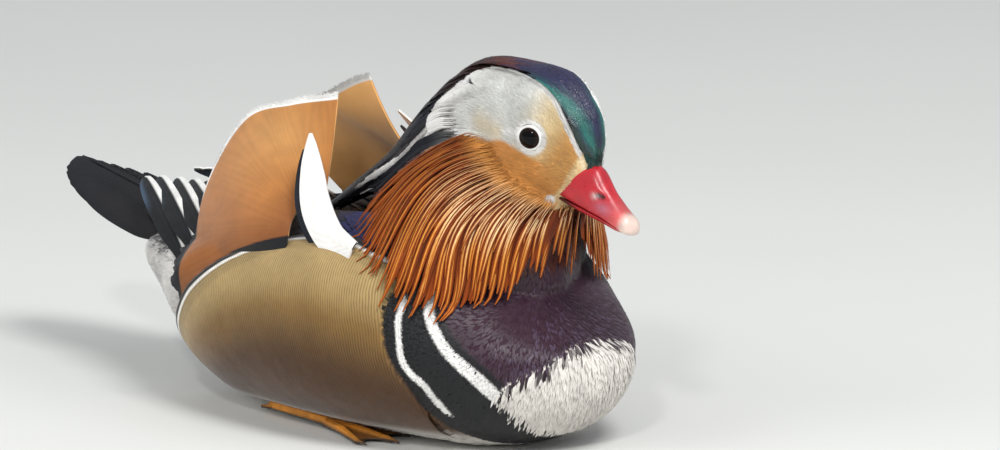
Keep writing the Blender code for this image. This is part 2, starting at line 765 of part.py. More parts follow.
def wing_shell(name, stations=11, across=6):
    outer, inner = [], []
    for i in range(stations):
        x = WING_REAR_X + (WING_FRONT_X - WING_REAR_X) * i / (stations - 1)
        low, high = side_angle(x, FLANK_LINE(x) - 4), back_angle(x, 6.0)
        line, under = [], []
        for j in range(across):
            angle = low + (high - low) * j / (across - 1)
            lift = wing_lift(x, torso_point(x, angle))
            ends = math.sqrt(max(0.0, 1 - abs(2 * i / (stations - 1) - 1) ** 8))
            rim = math.sqrt(max(0.0, 1 - max(0.0, 2 * j / (across - 1) - 1) ** 6))
            line.append(torso_point(x, angle, lift * ends * rim - 3.5 * (2 - ends - rim)))
            under.append(torso_point(x, angle, -WING_RECESS - 3.0))
        outer.append(line)
        inner.append(under)
    points = [p for grid in (outer, inner) for line in grid for p in line]
    return make(name, points, sheet_faces(stations, across))


COVERT_TIERS = [(42, 8, 52, 84, 3), (14, -20, 50, 84, 3), (-14, -52, 50, 84, 3)]
COVERT_WIDTH = 15.0


def coverts():
    """Tiers of broad feathers over the right wing, each with its root in the shell and its tip raised.

    A tier is (root x, tip x, lowest angle, highest angle, count), in millimetres and degrees.
    """
    made = []
    for root_x, tip_x, low, high, count in COVERT_TIERS:
        for i in range(count):
            angle = math.radians(low + (high - low) * (i + 0.5) / count)

            def path(t, angle=angle):
                x = root_x + (tip_x - root_x) * t
                lift = wing_lift(x, torso_point(x, angle))
                return torso_point(x, angle, lift - 1.6 + 2.6 * t)

            out = Vector((-0.12, -math.cos(angle), math.sin(angle)))
            made.append(vane("covert", path, COVERT_WIDTH, out, 0.9, 0.0, 4))
    return made


def wing_cutters():
    """What cuts a neighbour clear of the right wing."""
    return [grown(piece) for piece in [wing_shell("cut")] + coverts()]


PRIMARY_TIPS = [(-113, -15, 84), (-106, -13.5, 85.5), (-98, -12.5, 86), (-89, -12, 86.5), (-80, -12, 87)]
PRIMARY_TILT = math.radians(14)
PRIMARY_ROOTS = [(-38, -39, 63), (-36, -36, 67), (-34, -33, 71), (-32, -30, 75), (-30, -27, 78)]
PRIMARY_WIDTH = 10.0
PRIMARY_BEND = Vector((0, -4, -1))
PRIMARY_UP = Vector((-0.1, -0.85, 0.5))


def primaries():
    """The tips of the right wing's flight feathers, over the rump."""
    made = []
    for root, tip in zip(PRIMARY_ROOTS, PRIMARY_TIPS):
        root, tip = Vector(root), Vector(tip)
        path = bezier(root, (root + tip) / 2 + PRIMARY_BEND, tip)
        made.append(vane("primary", path, PRIMARY_WIDTH, PRIMARY_UP, 0.9, PRIMARY_TILT))
    return made


# Sails, scapulars

SAIL_FRONT_BASE, SAIL_REAR_BASE = Vector((24, -43, 84)), Vector((34, -54, 83))
SAIL_MARGIN = curve([(2, -10, 137.5), (-25, -12, 131), (-50, -16, 121), (-56, -32, 95), (-47, -50, 68),
                     (-50, -52, 39)])
SAIL_THICK = 0.9
SAIL_LEFT_RISE = 5.5  # the left sail is held a little higher
SAIL_LIFT = 2.7       # from the wing to the middle of the sail
SAIL_BOW_FRONT, SAIL_BOW_REAR = Vector((-3, 4, -2)), Vector((3, -6, 8))


def over_wing(p, lift):
    """p, moved to the right where needed to lie lift outside the wing, or under the flank's feathers."""
    low, top = torso_section(p.x, 0)[3], torso_section(p.x, 0)[1]
    if p.z >= top or not WING_REAR_X - 22 < p.x < WING_FRONT_X:
        return p
    skin = torso_point(p.x, side_angle(p.x, p.z))
    reach = -skin.y + wing_lift(p.x, skin) + lift * step(-5, 1, p.z - FLANK_LINE(p.x))
    return Vector((p.x, min(p.y, -reach), p.z)) if p.z > low - 20 else p


def sail_point(a, r, rise):
    """A point of the right sail. a runs from its front edge to its lower edge, r from base to margin."""
    base = SAIL_FRONT_BASE.lerp(SAIL_REAR_BASE, a)
    end = SAIL_MARGIN(a) + Vector((-0.3, 0, 1)) * rise * (1 - step(0.0, 0.28, a))
    bow = SAIL_BOW_FRONT.lerp(SAIL_BOW_REAR, step(0, 1, a ** 0.6))
    return over_wing(base.lerp(end, r) + bow * math.sin(math.pi * r), SAIL_LIFT)


def sail_out(a, r, rise):
    along = sail_point(a, min(r + 0.05, 1), rise) - sail_point(a, max(r - 0.05, 0), rise)
    across = sail_point(min(a + 0.05, 1), r, rise) - sail_point(max(a - 0.05, 0), r, rise)
    out = along.cross(across).normalized()
    return out if out.y < 0 else -out


def sail(name, rise=0.0, rays=13, rows=7):
    grid, normals = [], []
    for i in range(rays):
        a = i / (rays - 1)
        reach = [0.2 + 0.8 * j / (rows - 1) for j in range(rows)]
        grid.append([sail_point(a, r, rise) for r in reach])
        normals.append([sail_out(a, r, rise) for r in reach])
    return plate(name, grid, [SAIL_THICK] * rays, normals)


SCAPULAR_LINE = curve([outside(Vector(p), 2.2) for p in
                       ((58, -50, 79), (42, -53, 86), (29, -49, 97), (17, -40, 109), (8, -32, 123.5))])
SCAPULAR_WIDTH = 14.0
SCAPULAR_OUT = Vector((0.35, -0.85, 0.3)).normalized()
SCAPULAR_APART = 1.5  # from the white feather to the one under it
SCAPULAR_UNDER = 0.88 # the under feather's length and width, as shares of the white one's


def scapular_under(t):
    """The path of the feather that shows behind the white one. Both share a root."""
    apart = (Vector((-4, 0, -0.6)) - SCAPULAR_OUT * SCAPULAR_APART) * step(0.02, 0.3, t)
    return SCAPULAR_LINE(t * SCAPULAR_UNDER) + apart


def scapulars():
    """(the white feather, the dark one under it) of the right side."""
    shape = dict(tilt=0.0, rows=8, across=2, camber=0.08, tip=0.08)
    under_width = SCAPULAR_WIDTH * SCAPULAR_UNDER
    return [vane("scapular", SCAPULAR_LINE, SCAPULAR_WIDTH, SCAPULAR_OUT, 1.0, **shape),
            vane("scapular_under", scapular_under, under_width, SCAPULAR_OUT, 0.8, **shape)]


# Tail

TAIL_TILT = math.radians(-14)
RECTRICES = 4         # on each side
RECTRIX_WIDTH = 15.0
TAIL_COVERTS = 5
TAIL_COVERT_WIDTH, TAIL_COVERT_APART = 11.0, 6.5
CORE_START, CORE_END = Vector((-84, 0, 58)), Vector((-140, 0, 69))
CORE_HALF_WIDTH, CORE_HALF_HEIGHT = 20.0, 11.0


def tail_line(side):
    """A tail feather's path. side runs from 0 in the middle to 1 at the outer edge."""
    root = Vector((-96, -4 - 11 * side, 65.5 - 5 * side))
    tip = Vector((-175 + 24 * side ** 2, -3.5 - 14 * side, 83 - 7 * side))
    middle = (root + tip) / 2 + Vector((0, -5 * side, -1.0))
    return bezier(root, middle, tip)


def rectrices():
    """The tail's long feathers on the right side, each a little shorter and lower than the one inside it."""
    made = []
    for i in range(RECTRICES):
        side = i / (RECTRICES - 1)
        up = Vector((0.2, -0.3 - 0.3 * side, 0.8))
        made.append(vane("rectrix", tail_line(side), RECTRIX_WIDTH, up, 1.0, TAIL_TILT))
    return made


def tail_coverts():
    """The short feathers that lie over the roots of the tail, in one row across it."""
    made = []
    for i in range(TAIL_COVERTS):
        y = (i - (TAIL_COVERTS - 1) / 2) * TAIL_COVERT_APART
        start = Vector((-88, y, 66.5 - abs(y) * 0.3))
        end = Vector((-128 + abs(y) * 0.7, y * 0.9, 79.5 - abs(y) * 0.35))
        path = bezier(start, (start + end) / 2 + Vector((0, 0, 1.5)), end)
        made.append(vane("tail_covert", path, TAIL_COVERT_WIDTH, Vector((0, y * 0.03, 1)), 0.9, 0.0, 4))
    return made


def tail_core(stations=5, around=10):
    rings = []
    for i in range(stations):
        t = i / (stations - 1)
        centre = CORE_START.lerp(CORE_END, t)
        wide, tall = CORE_HALF_WIDTH * (1 - 0.75 * t), CORE_HALF_HEIGHT * (1 - 0.8 * t)
        angles = [2 * math.pi * (k + 0.5) / around for k in range(around)]
        rings.append([centre + Vector((0, -wide * math.cos(a), tall * math.sin(a))) for a in angles])
    front, back = CORE_START + Vector((2, 0, 0)), CORE_END + Vector((-2, 0, 0.5))
    return loft("tail_core", [[front]] + rings + [[back]])


# Legs

HEEL, TOE_JOINT = Vector((-6, -40, 4.6)), Vector((30, -43, 3.2))
TOE_TIPS = [Vector((64, -33, 1.6)), Vector((70, -45, 1.6)), Vector((62, -57, 1.6))]
WEB_THICK = 1.1
WEB_HEIGHT = 1.5


def legs_right():
    """(pieces of the right leg): the tarsus lies along the floor, with the web spread ahead of it."""
    pieces = []
    path = bezier(HEEL, (HEEL + TOE_JOINT) / 2, TOE_JOINT)

    def tube(name, way, start, end, around=5, rows=3):
        rings = []
        for i in range(rows):
            t = i / (rows - 1)
            ahead = (way(min(t + 0.02, 1)) - way(max(t - 0.02, 0))).normalized()
            side = ahead.cross(Vector((0, 0, 1))).normalized()
            up = side.cross(ahead)
            r = start + (end - start) * t
            ring = [way(t) + (side * math.cos(a) + up * math.sin(a)) * r
                    for a in (2 * math.pi * (k + 0.5) / around for k in range(around))]
            rings.append([Vector((p.x, p.y, max(p.z, 0))) for p in ring])
        first, last = sum(rings[0], Vector()) / around, sum(rings[-1], Vector()) / around
        return loft(name, [[first]] + rings + [[last]])

    pieces.append(tube("tarsus", path, 3.0, 2.6))
    shin = bezier(HEEL, HEEL + Vector((-3, 1, 5)), HEEL + Vector((-2, 5, 13)))
    pieces.append(tube("shin", shin, 3.4, 6.0))
    for tip in TOE_TIPS:
        way = bezier(TOE_JOINT + Vector((-2, 0, -1)), (TOE_JOINT + tip) / 2 + Vector((0, 0, 1.5)), tip)
        pieces.append(tube("toe", way, 2.4, 1.5))
        claw = bezier(tip - Vector((1, 0, 0)), tip + Vector((3, 0, 0.6)), tip + Vector((5.5, 0, -0.6)))
        pieces.append(tube("claw", claw, 1.2, 0.5, 4, 3))
    web_rows = []
    for i in range(3):
        t = i / 2
        line = []
        for j in range(5):
            spread = j / 4
            edge = curve(TOE_TIPS)(spread)
            pull = 1 - 0.12 * math.sin(2 * math.pi * spread) ** 2
            p = (TOE_JOINT + Vector((-2, 0, 0))).lerp(edge, t * pull * 0.97)
            line.append(Vector((p.x, p.y, WEB_HEIGHT)))
        if i == 0:
            line = [Vector((TOE_JOINT.x - 1, TOE_JOINT.y - 1.5 + 0.75 * j, WEB_HEIGHT)) for j in range(5)]
        web_rows.append(line)
    ups = [[Vector((0, 0, 1))] * 5 for _ in range(3)]
    pieces.append(plate("web", web_rows, [WEB_THICK] * 3, ups))
    hind = bezier(HEEL + Vector((3, 0, -1)), HEEL + Vector((-4, 1, -2)), HEEL + Vector((-10, 1, -3)))
    pieces.append(tube("hallux", hind, 1.6, 0.9, 5, 3))
    return pieces


def main():
    remove(bpy.data.objects)
    gold = finish("flank_gold", (0.42, 0.27, 0.1), 0.7)
    orange = finish("ruff_orange", (0.5, 0.16, 0.03), 0.6)
    face = finish("face_white", (0.75, 0.68, 0.55), 0.7)
    green = finish("crest_green", (0.02, 0.07, 0.06), 0.35)
    red = finish("bill_red", (0.62, 0.03, 0.05), 0.35)
    black = finish("eye_black", (0.01, 0.008, 0.006), 0.08)
    dark = finish("wing_dark", (0.03, 0.03, 0.04), 0.5)
    sail_orange = finish("sail_orange", (0.55, 0.24, 0.07), 0.6)
    white = finish("scapular_white", (0.85, 0.85, 0.85), 0.6)
    leg = finish("leg_orange", (0.6, 0.3, 0.06), 0.5)

    node("torso", [torso("torso")], [], gold)

    skin, look = eye_axis()
    centre = skin - look * EYE_SUNK
    lids = [ring_tube("lid", skin - look * 0.3, look, LID_RADIUS, LID_THICK)]
    lids.append(ring_tube("lid", flip_side(skin - look * 0.3), flip_side(look), LID_RADIUS, LID_THICK))
    sockets = [ball("socket", centre, EYE_RADIUS + GAP, 12, 8, look),
               ball("socket", flip_side(centre), EYE_RADIUS + GAP, 12, 8, flip_side(look))]
    node("head", [head_body("head")] + lids, sockets, face)
    eye = node("eye_right", [ball("eye", centre, EYE_RADIUS, 12, 8, look)], [], black)
    mirrored(eye, "eye_left")

    upper, pits = upper_mandible()
    node("bill_upper", [upper], pits + [grown(head_body("cut"))], red)
    behind = [grown(head_body("cut")), grown(neck_body("cut", NECK_DEPTHS))]
    node("bill_lower", [lower_mandible()], behind, red)
    body = [grown(head_body("cut")), grown(torso("cut"))]
    locks = [side for piece in ruff_locks() for side in both_sides(piece)]
    wings = [side for piece in wing_cutters() for side in both_sides(piece)]
    node("neck", [neck_body("neck", NECK_DEPTHS)] + locks, body + wings, orange)
    over = [grown(head_body("cut")), grown(neck_body("cut", NECK_DEPTHS)), grown(torso("cut"))]
    wings = [side for piece in wing_cutters() for side in both_sides(piece)]
    node("crest", [crest_body("crest")] + crest_feathers(), over + wings, green)

    feathers = primaries() + coverts()
    wing = node("wing_right", [wing_shell("wing_right")] + feathers, [grown(torso("cut"))], dark)
    mirrored(wing, "wing_left")

    for name, rise in (("sail_right", 0.0), ("sail_left", SAIL_LEFT_RISE)):
        made = node(name, [sail(name, rise)], [grown(torso("cut"))] + wing_cutters(), sail_orange)
        if name == "sail_left":
            turn_over(made)

    under = [grown(torso("cut")), grown(sail("cut")), grown(neck_body("cut", NECK_DEPTHS))] + wing_cutters()
    feathers = node("scapulars_right", scapulars(), under, white)
    mirrored(feathers, "scapulars_left")

    feathers = rectrices()
    feathers += [mirrored(feather, "rectrix") for feather in feathers]
    feathers += tail_coverts()
    node("tail", [tail_core()] + feathers, [grown(torso("cut"))], dark)

    leg_right = node("leg_right", legs_right(), [grown(torso("cut"))], leg)
    mirrored(leg_right, "leg_left")


main()
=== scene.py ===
"""The looks of the mandarin drake: skin, feathers, bill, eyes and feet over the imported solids.

Sizes are in millimetres in the part's own frame and become metres when a mesh is made.
"""

import math

import bpy
import numpy as np
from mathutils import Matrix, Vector
from mathutils.bvhtree import BVHTree


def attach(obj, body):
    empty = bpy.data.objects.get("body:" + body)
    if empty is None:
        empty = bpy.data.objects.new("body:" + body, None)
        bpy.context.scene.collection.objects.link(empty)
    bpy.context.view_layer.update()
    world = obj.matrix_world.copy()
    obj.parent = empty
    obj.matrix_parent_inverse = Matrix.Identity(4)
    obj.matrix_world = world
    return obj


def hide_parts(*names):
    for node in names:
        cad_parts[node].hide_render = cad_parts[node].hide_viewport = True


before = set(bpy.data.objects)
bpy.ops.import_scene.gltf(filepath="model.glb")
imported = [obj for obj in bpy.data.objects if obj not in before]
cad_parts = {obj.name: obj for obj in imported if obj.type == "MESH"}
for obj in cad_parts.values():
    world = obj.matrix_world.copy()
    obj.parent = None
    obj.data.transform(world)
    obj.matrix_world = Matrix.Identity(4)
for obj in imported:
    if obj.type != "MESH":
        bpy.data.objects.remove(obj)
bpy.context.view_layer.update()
draw = np.random.default_rng(5)

MM = 0.001
SHIFT_X = 2.4         # from the bird's own frame to the part's
COAT_DEPTH = 1.2      # the skin lies this far inside the solids

# Colours


def srgb(red, green, blue):
    """A linear colour from 0..255 values."""
    c = np.array([red, green, blue], float) / 255
    return np.where(c <= 0.04045, c / 12.92, ((c + 0.055) / 1.055) ** 2.4)


WHITE = srgb(232, 230, 226)
FACE_GREY = srgb(206, 206, 200)
CREAM = srgb(224, 198, 148)
TAN = srgb(204, 150, 84)
CHEEK = srgb(208, 140, 68)
NAVY = srgb(26, 22, 62)
TEAL = srgb(22, 92, 84)
GREEN = srgb(10, 40, 34)
MAROON = srgb(96, 30, 14)
DARK_MAROON = srgb(40, 13, 11)
BLACK = srgb(12, 12, 15)
BLUE_BLACK = srgb(13, 17, 27)
RUFF_ORANGE = srgb(168, 76, 14)
RUFF_DARK = srgb(74, 22, 5)
RUFF_GOLD = srgb(218, 144, 56)
RUFF_PALE = srgb(252, 224, 172)
BREAST = srgb(50, 24, 40)
BREAST_DARK = srgb(28, 15, 26)
# Blue-grey of the painted sheen on the lower breast
BREAST_PAINTED_SHEEN = srgb(80, 66, 88)
FLANK_PALE = srgb(164, 138, 90)
FLANK_GOLD = srgb(128, 97, 50)
FLANK_BROWN = srgb(72, 46, 22)
SAIL_ORANGE = srgb(172, 110, 52)
SAIL_CHESTNUT = srgb(112, 60, 25)
# Pale orange of the painted light on the sails' faces
SAIL_PALE = srgb(196, 150, 92)
SHOULDER_BLUE = srgb(22, 30, 92)
WING_BLUE = srgb(70, 92, 116)
TAIL_BROWN = srgb(30, 27, 27)
VENT_GREY = srgb(214, 211, 206)
BELLY_WHITE = srgb(236, 230, 222)
BILL_RED = srgb(178, 28, 40)
BILL_PINK = srgb(210, 98, 96)
BILL_NAIL = srgb(212, 188, 176)
BILL_GREY = srgb(176, 130, 150)
LEG_YELLOW = srgb(214, 138, 44)
WEB_DARK = srgb(62, 46, 34)

# Functions of one or many numbers


def smooth(knots):
    """A function through (x, value) knots, with no overshoot between them."""
    xs, ys = np.array(knots, float).T
    steps = np.diff(ys) / np.diff(xs)
    before, after = steps[:-1], steps[1:]
    total = np.where(before + after == 0, 1, before + after)
    inner = np.where(before * after <= 0, 0, 2 * before * after / total)
    slopes = np.concatenate([steps[:1], inner, steps[-1:]])

    def at(x):
        x = np.clip(x, xs[0], xs[-1])
        i = np.clip(np.searchsorted(xs, x, "right") - 1, 0, len(xs) - 2)
        width = xs[i + 1] - xs[i]
        t = (x - xs[i]) / width
        return (ys[i] * (1 + 2 * t) * (1 - t) ** 2 + ys[i + 1] * t * t * (3 - 2 * t)
                + width * (slopes[i] * t * (1 - t) ** 2 - slopes[i + 1] * t * t * (1 - t)))

    return at


def curve(points):
    """A function from 0..1 to a smooth line through 3-D points."""
    p = np.array(points, float)
    ends = np.vstack([2 * p[0] - p[1], p, 2 * p[-1] - p[-2]])

    def at(t):
        place = np.clip(t, 0, 1) * (len(p) - 1)
        i = np.minimum(place.astype(int) if hasattr(place, "astype") else int(place), len(p) - 2)
        f = np.asarray(place - i)[..., None]
        a, b, c, d = ends[i], ends[i + 1], ends[i + 2], ends[i + 3]
        return 0.5 * (2 * b + (c - a) * f + (2 * a - 5 * b + 4 * c - d) * f ** 2
                      + (3 * b - a - 3 * c + d) * f ** 3)

    return at


def step(low, high, x):
    """0 below low, 1 above high, and smooth between."""
    t = np.clip((x - low) / (high - low), 0, 1)
    return t * t * (3 - 2 * t)


def round_end(x, start, end, power=2.0):
    """1 before start, falling like an ellipse to 0 at end."""
    q = np.clip((x - start) / (end - start), 0, 1)
    return (1 - q ** power) ** (1 / power)


def crowded(low, high, count):
    """Stations from low to high, closer together at both ends."""
    return low + (high - low) * (1 - np.cos(np.pi * np.arange(count) / (count - 1))) / 2


def unit(v):
    return v / np.maximum(np.linalg.norm(v, axis=-1, keepdims=True), 1e-9)


def dot(a, b):
    return np.sum(a * b, axis=-1)


def blend(a, b, share):
    """Colour a turning to colour b as share goes from 0 to 1."""
    share = np.asarray(share, float)[..., None]
    return a * (1 - share) + b * share


def xyz(x, y, z):
    return np.stack(np.broadcast_arrays(x, y, z), -1).astype(float)


def mirror(p):
    return p * np.array([1, -1, 1])


# The body's form, as in the solids

RUMP_X, BREAST_X = -116.0, 154.5
PLAN_CENTRE_X = 38.0
BREAST_APEX_Z = 42.0
TORSO_TOP = smooth([(-116, 62), (-80, 71), (-40, 81), (0, 87), (45, 92), (88, 89), (115, 75), (135, 64),
                    (158, 55)])
TORSO_POWER = smooth([(-116, 2.2), (-50, 2.5), (0, 2.8), (60, 2.8), (98, 2.3), (158, 2.0)])
TORSO_BOTTOM = smooth([(-116, 52), (-90, 33), (-70, 17), (-45, 3), (-20, -2), (158, -2)])
TORSO_WAIST = smooth([(-116, 58), (-60, 52), (-10, 45), (60, 42), (158, 42)])
TORSO_WIDTH = smooth([(-116, 22), (-85, 37), (-50, 57), (-10, 68), (38, 72), (100, 70), (158, 68)])
FLANK_LINE = smooth([(-58, 30), (-51, 41), (-37, 56), (-6, 75), (25, 84), (45, 86), (62, 84), (92, 78)])
FLANK_REAR_X, FLANK_FRONT_X = -60.0, 92.0
WING_RECESS = 6.0
LIP_ANGLE = 0.02
BACK_GROOVE = 3.0
BELLY_POWER = 2.3


def torso_section(x, grow=0.0):
    """(half width, top, bottom, waist) of the torso at x."""
    front = round_end(x, PLAN_CENTRE_X, BREAST_X + grow)
    rear = round_end(-x, 98.0, -RUMP_X + grow)
    width = TORSO_WIDTH(x) * front * rear + grow
    waist = TORSO_WAIST(x)
    top = waist + (TORSO_TOP(x) - waist) * round_end(x, 90.0, BREAST_X + grow) * rear + grow
    low = waist - (waist - TORSO_BOTTOM(x)) * round_end(x, 95.0, BREAST_X + grow) * rear - grow
    return width, top, low, waist


def torso_point(x, angle, grow=0.0, recess=0.0):
    """Points of the torso. angle is 0 at the right side and a quarter turn at the top of the back."""
    width, top, low, waist = torso_section(x, grow)
    c, s = np.cos(angle), np.sin(angle)
    power = np.where(s > 0, TORSO_POWER(x), BELLY_POWER)
    y = -width * np.sign(c) * np.abs(c) ** (2 / power)
    z = waist + np.where(s > 0, top - waist, waist - low) * np.sign(s) * np.abs(s) ** (2 / power)
    along = step(-90, -50, x) * (1 - step(60, 95, x))
    z = z - BACK_GROOVE * np.exp(-(y / 11) ** 2) * along * (s > 0)
    y, z = y + c * recess, z - s * recess
    return xyz(x, y, np.maximum(z, -grow))


def side_angle(x, z):
    """The angle at which the torso's right side has height z."""
    width, top, low, waist = torso_section(x)
    share = (z - waist) / np.where(z > waist, top - waist, waist - low)
    power = np.where(z > waist, TORSO_POWER(x), BELLY_POWER)
    return np.sign(share) * np.arcsin(np.minimum(0.96, np.abs(share)) ** (power / 2))


def back_angle(x, reach):
    """The angle at which the torso's right side is reach from the middle of the back."""
    return np.arccos(np.minimum(0.98, reach / torso_section(x)[0]) ** (TORSO_POWER(x) / 2))


WING_REAR_X, WING_FRONT_X = -50.0, 88.0
WING_TUCK = 4.2
SCAPULAR_RIDGE = 3.5


def wing_lift(x, p):
    """How far the wing's surface lies outside the torso's own."""
    lift = -WING_TUCK + (WING_TUCK + 1.0) * step(0, 16, p[..., 2] - FLANK_LINE(x))
    return lift + SCAPULAR_RIDGE * np.exp(-((np.abs(p[..., 1]) - 27) / 10) ** 2) * step(-50, -20, x)


def wing_point(x, angle, lift=0.0):
    return torso_point(x, angle, wing_lift(x, torso_point(x, angle)) + lift)


def outside(p, lift):
    """p, moved away from the torso's middle where needed to lie lift outside it and its wings."""
    x = p[..., 0]
    width, top, low, waist = torso_section(x)
    width = np.maximum(width, 1.0)
    high = p[..., 2] > waist
    power = np.where(high, TORSO_POWER(x), BELLY_POWER)
    half = np.maximum(np.where(high, top - waist, waist - low), 1.0)
    reach = (np.abs(p[..., 1] / width) ** power + (np.abs(p[..., 2] - waist) / half) ** power) ** (1 / power)
    out = xyz(0 * x, p[..., 1], p[..., 2] - waist)
    near = (x > WING_REAR_X - 18) & (x < WING_FRONT_X + 8)
    lift = lift + np.where(near, np.maximum(0.0, wing_lift(x, p)), 0)
    length = np.linalg.norm(out, axis=-1)
    wanted = length / np.maximum(reach, 0.01) + lift
    moved = xyz(x, 0, waist) + unit(out) * wanted[..., None]
    move = (length < wanted) & (x > RUMP_X) & (x < BREAST_X)
    return np.where(move[..., None], moved, p)


# Head

EYE_X, EYE_Z = 122.0, 136.0
HEAD_PITCH = math.radians(17.0)
FORWARD = np.array([math.cos(HEAD_PITCH), 0, -math.sin(HEAD_PITCH)])
UPWARD = np.array([math.sin(HEAD_PITCH), 0, math.cos(HEAD_PITCH)])
RIGHT = np.array([0.0, -1.0, 0.0])
HEAD_ORIGIN = np.array([EYE_X, 0, EYE_Z])
HEAD_BACK, HEAD_FRONT = -60.0, 29.0
HEAD_POWER = 2.1
HEAD_POWER_OVER = smooth([(-60, 2.1), (-32, 2.5), (-8, 3.8), (8, 3.6), (18, 2.8), (29, 2.2)])
HEAD_TOP = smooth([(-60, -4), (-50, 6), (-36, 13.5), (-22, 18.2), (-5, 22), (6, 20.8), (14, 16.3), (22, 8.5),
                   (29, -2)])
HEAD_BOTTOM = smooth([(-60, -30), (-40, -38), (-15, -38), (5, -33), (15, -28.5), (22, -25), (29, -16)])
HEAD_WIDTH = smooth([(-60, 10), (-45, 14), (-25, 17.5), (-8, 18), (3, 16.5), (13, 13), (22, 9.5), (29, 7)])
HEAD_WAIST = smooth([(-60, -18), (-25, -14), (0, -13), (15, -10), (29, -5)])


def head_place(along, side, up):
    along, side, up = np.broadcast_arrays(along, side, up)
    return HEAD_ORIGIN + along[..., None] * FORWARD + side[..., None] * RIGHT + up[..., None] * UPWARD


def head_coordinates(p):
    """(along, side, up) of points, in the head's own frame."""
    local = p - HEAD_ORIGIN
    return local @ FORWARD, local @ RIGHT, local @ UPWARD


def head_section(along):
    ends = round_end(along, 18.0, HEAD_FRONT) * round_end(-along, 44.0, -HEAD_BACK)
    waist = HEAD_WAIST(along)
    top = waist + (HEAD_TOP(along) - waist) * ends
    low = waist - (waist - HEAD_BOTTOM(along)) * ends
    return HEAD_WIDTH(along) * ends, top, low, waist


def head_point(along, angle, lift=0.0):
    """Points of the head. angle is 0 at its right side and a quarter turn at the crown."""
    width, top, low, waist = head_section(along)
    c, s = np.cos(angle), np.sin(angle)
    power = np.where(s > 0, HEAD_POWER_OVER(along), HEAD_POWER)
    side = (width + lift) * np.sign(c) * np.abs(c) ** (2 / power)
    reach = np.where(s > 0, top - waist, waist - low) + lift
    return head_place(along, side, waist + reach * np.sign(s) * np.abs(s) ** (2 / power))


def head_surface(along, up):
    """The point of the head's right side at a height up."""
    width, top, low, waist = head_section(along)
    share = (up - waist) / (top - waist) if up > waist else (waist - up) / (waist - low)
    power = HEAD_POWER_OVER(along) if up > waist else HEAD_POWER
    return head_place(along, width * max(0.0, 1 - share ** power) ** (1 / power), up)


EYE_RADIUS = 6.2
EYE_SUNK = 4.2
EYE_ALONG = 2.3
EYE_AHEAD = 0.2
EYE_SKIN = head_surface(EYE_ALONG, 0.0)
EYE_LOOK = unit(np.cross(head_surface(EYE_ALONG + 2.0, 0.0) - head_surface(EYE_ALONG - 2.0, 0.0),
                         head_surface(EYE_ALONG, 2.0) - head_surface(EYE_ALONG, -2.0)))
EYE_LOOK = EYE_LOOK if EYE_LOOK[1] < 0 else -EYE_LOOK
EYE_LOOK = unit(EYE_LOOK + FORWARD * EYE_AHEAD)
EYE_CENTRE = EYE_SKIN - EYE_LOOK * EYE_SUNK

# Ruff and neck

RUFF_ROOTS = curve([(93, -14, 138), (98, -18, 133), (104, -20, 126), (112, -20.5, 119), (121, -18.5, 114),
                    (128.5, -13.5, 109.5), (134.5, -6, 105.5)])
RUFF_TIPS = curve([(33, -24, 94), (44, -38, 92), (55, -49, 83), (71, -58.5, 74), (84.5, -62, 67.5),
                   (96, -58.5, 63.5), (107, -48.5, 62.5), (114, -38, 65.5), (122, -25, 71), (128, -11, 84)])
RUFF_BULGE = 8.0
NAPE = curve([(60, 0, 134), (42, 0, 118.5), (24, 0, 103)])
THROAT = curve([(130, 0, 108), (128, 0, 97), (126, 0, 84)])
NECK_AXIS_X = 96.0
NECK_DEPTHS = [(0.0, 1.0), (0.15, 0.3), (0.3, 0.4), (0.48, 3.0), (0.72, 6.5), (1.0, 9.0)]


def ruff_line(a, r):
    """Points on a whisker's line: a is its place in the fan, r goes from its root to its tip."""
    root, tip = RUFF_ROOTS(a), RUFF_TIPS(a)
    middle = (root + tip) / 2
    out = unit(xyz(middle[..., 0] - NECK_AXIS_X, middle[..., 1], 0))
    swell = RUFF_BULGE * (1 - step(0.35, 0.85, a))
    middle = middle + out * np.asarray(swell)[..., None] + np.array([0, 0, 5])
    r = np.asarray(r, float)[..., None]
    return root * (1 - r) ** 2 + middle * 2 * r * (1 - r) + tip * r * r


def ruff_out(a, r):
    """The way the ruff's surface faces."""
    down = ruff_line(a, np.minimum(r + 0.05, 1)) - ruff_line(a, np.maximum(r - 0.05, 0))
    across = ruff_line(np.minimum(a + 0.05, 1), r) - ruff_line(np.maximum(a - 0.05, 0), r)
    out = unit(np.cross(down, across))
    here = ruff_line(a, r)
    facing = dot(out, xyz(here[..., 0] - NECK_AXIS_X, here[..., 1], 10))
    return out * np.where(facing < 0, -1, 1)[..., None]


def neck_ring(r, sunk, fan=24):
    a = np.linspace(0, 1, fan)
    depth = -sunk * (1 - 0.5 * step(0.75, 1, a)) * (0.4 + 0.6 * step(0, 0.3, a))
    right = ruff_line(a, np.full(fan, r)) + ruff_out(a, np.full(fan, r)) * depth[:, None]
    nape, throat = NAPE(r) + np.array([sunk * 0.3, 0, 0]), THROAT(r) - np.array([sunk * 0.5, 0, 0])
    between = (nape + right[0]) / 2 + np.array([-3, -2, 1])
    right = np.vstack([between, right])
    return np.vstack([nape, right, throat, mirror(right[::-1])])


def oval(centre, half_x, half_y, count):
    turn = 2 * np.pi * np.arange(count) / count
    return centre + xyz(-half_x * np.cos(turn), -half_y * np.sin(turn), 0)


# Crest

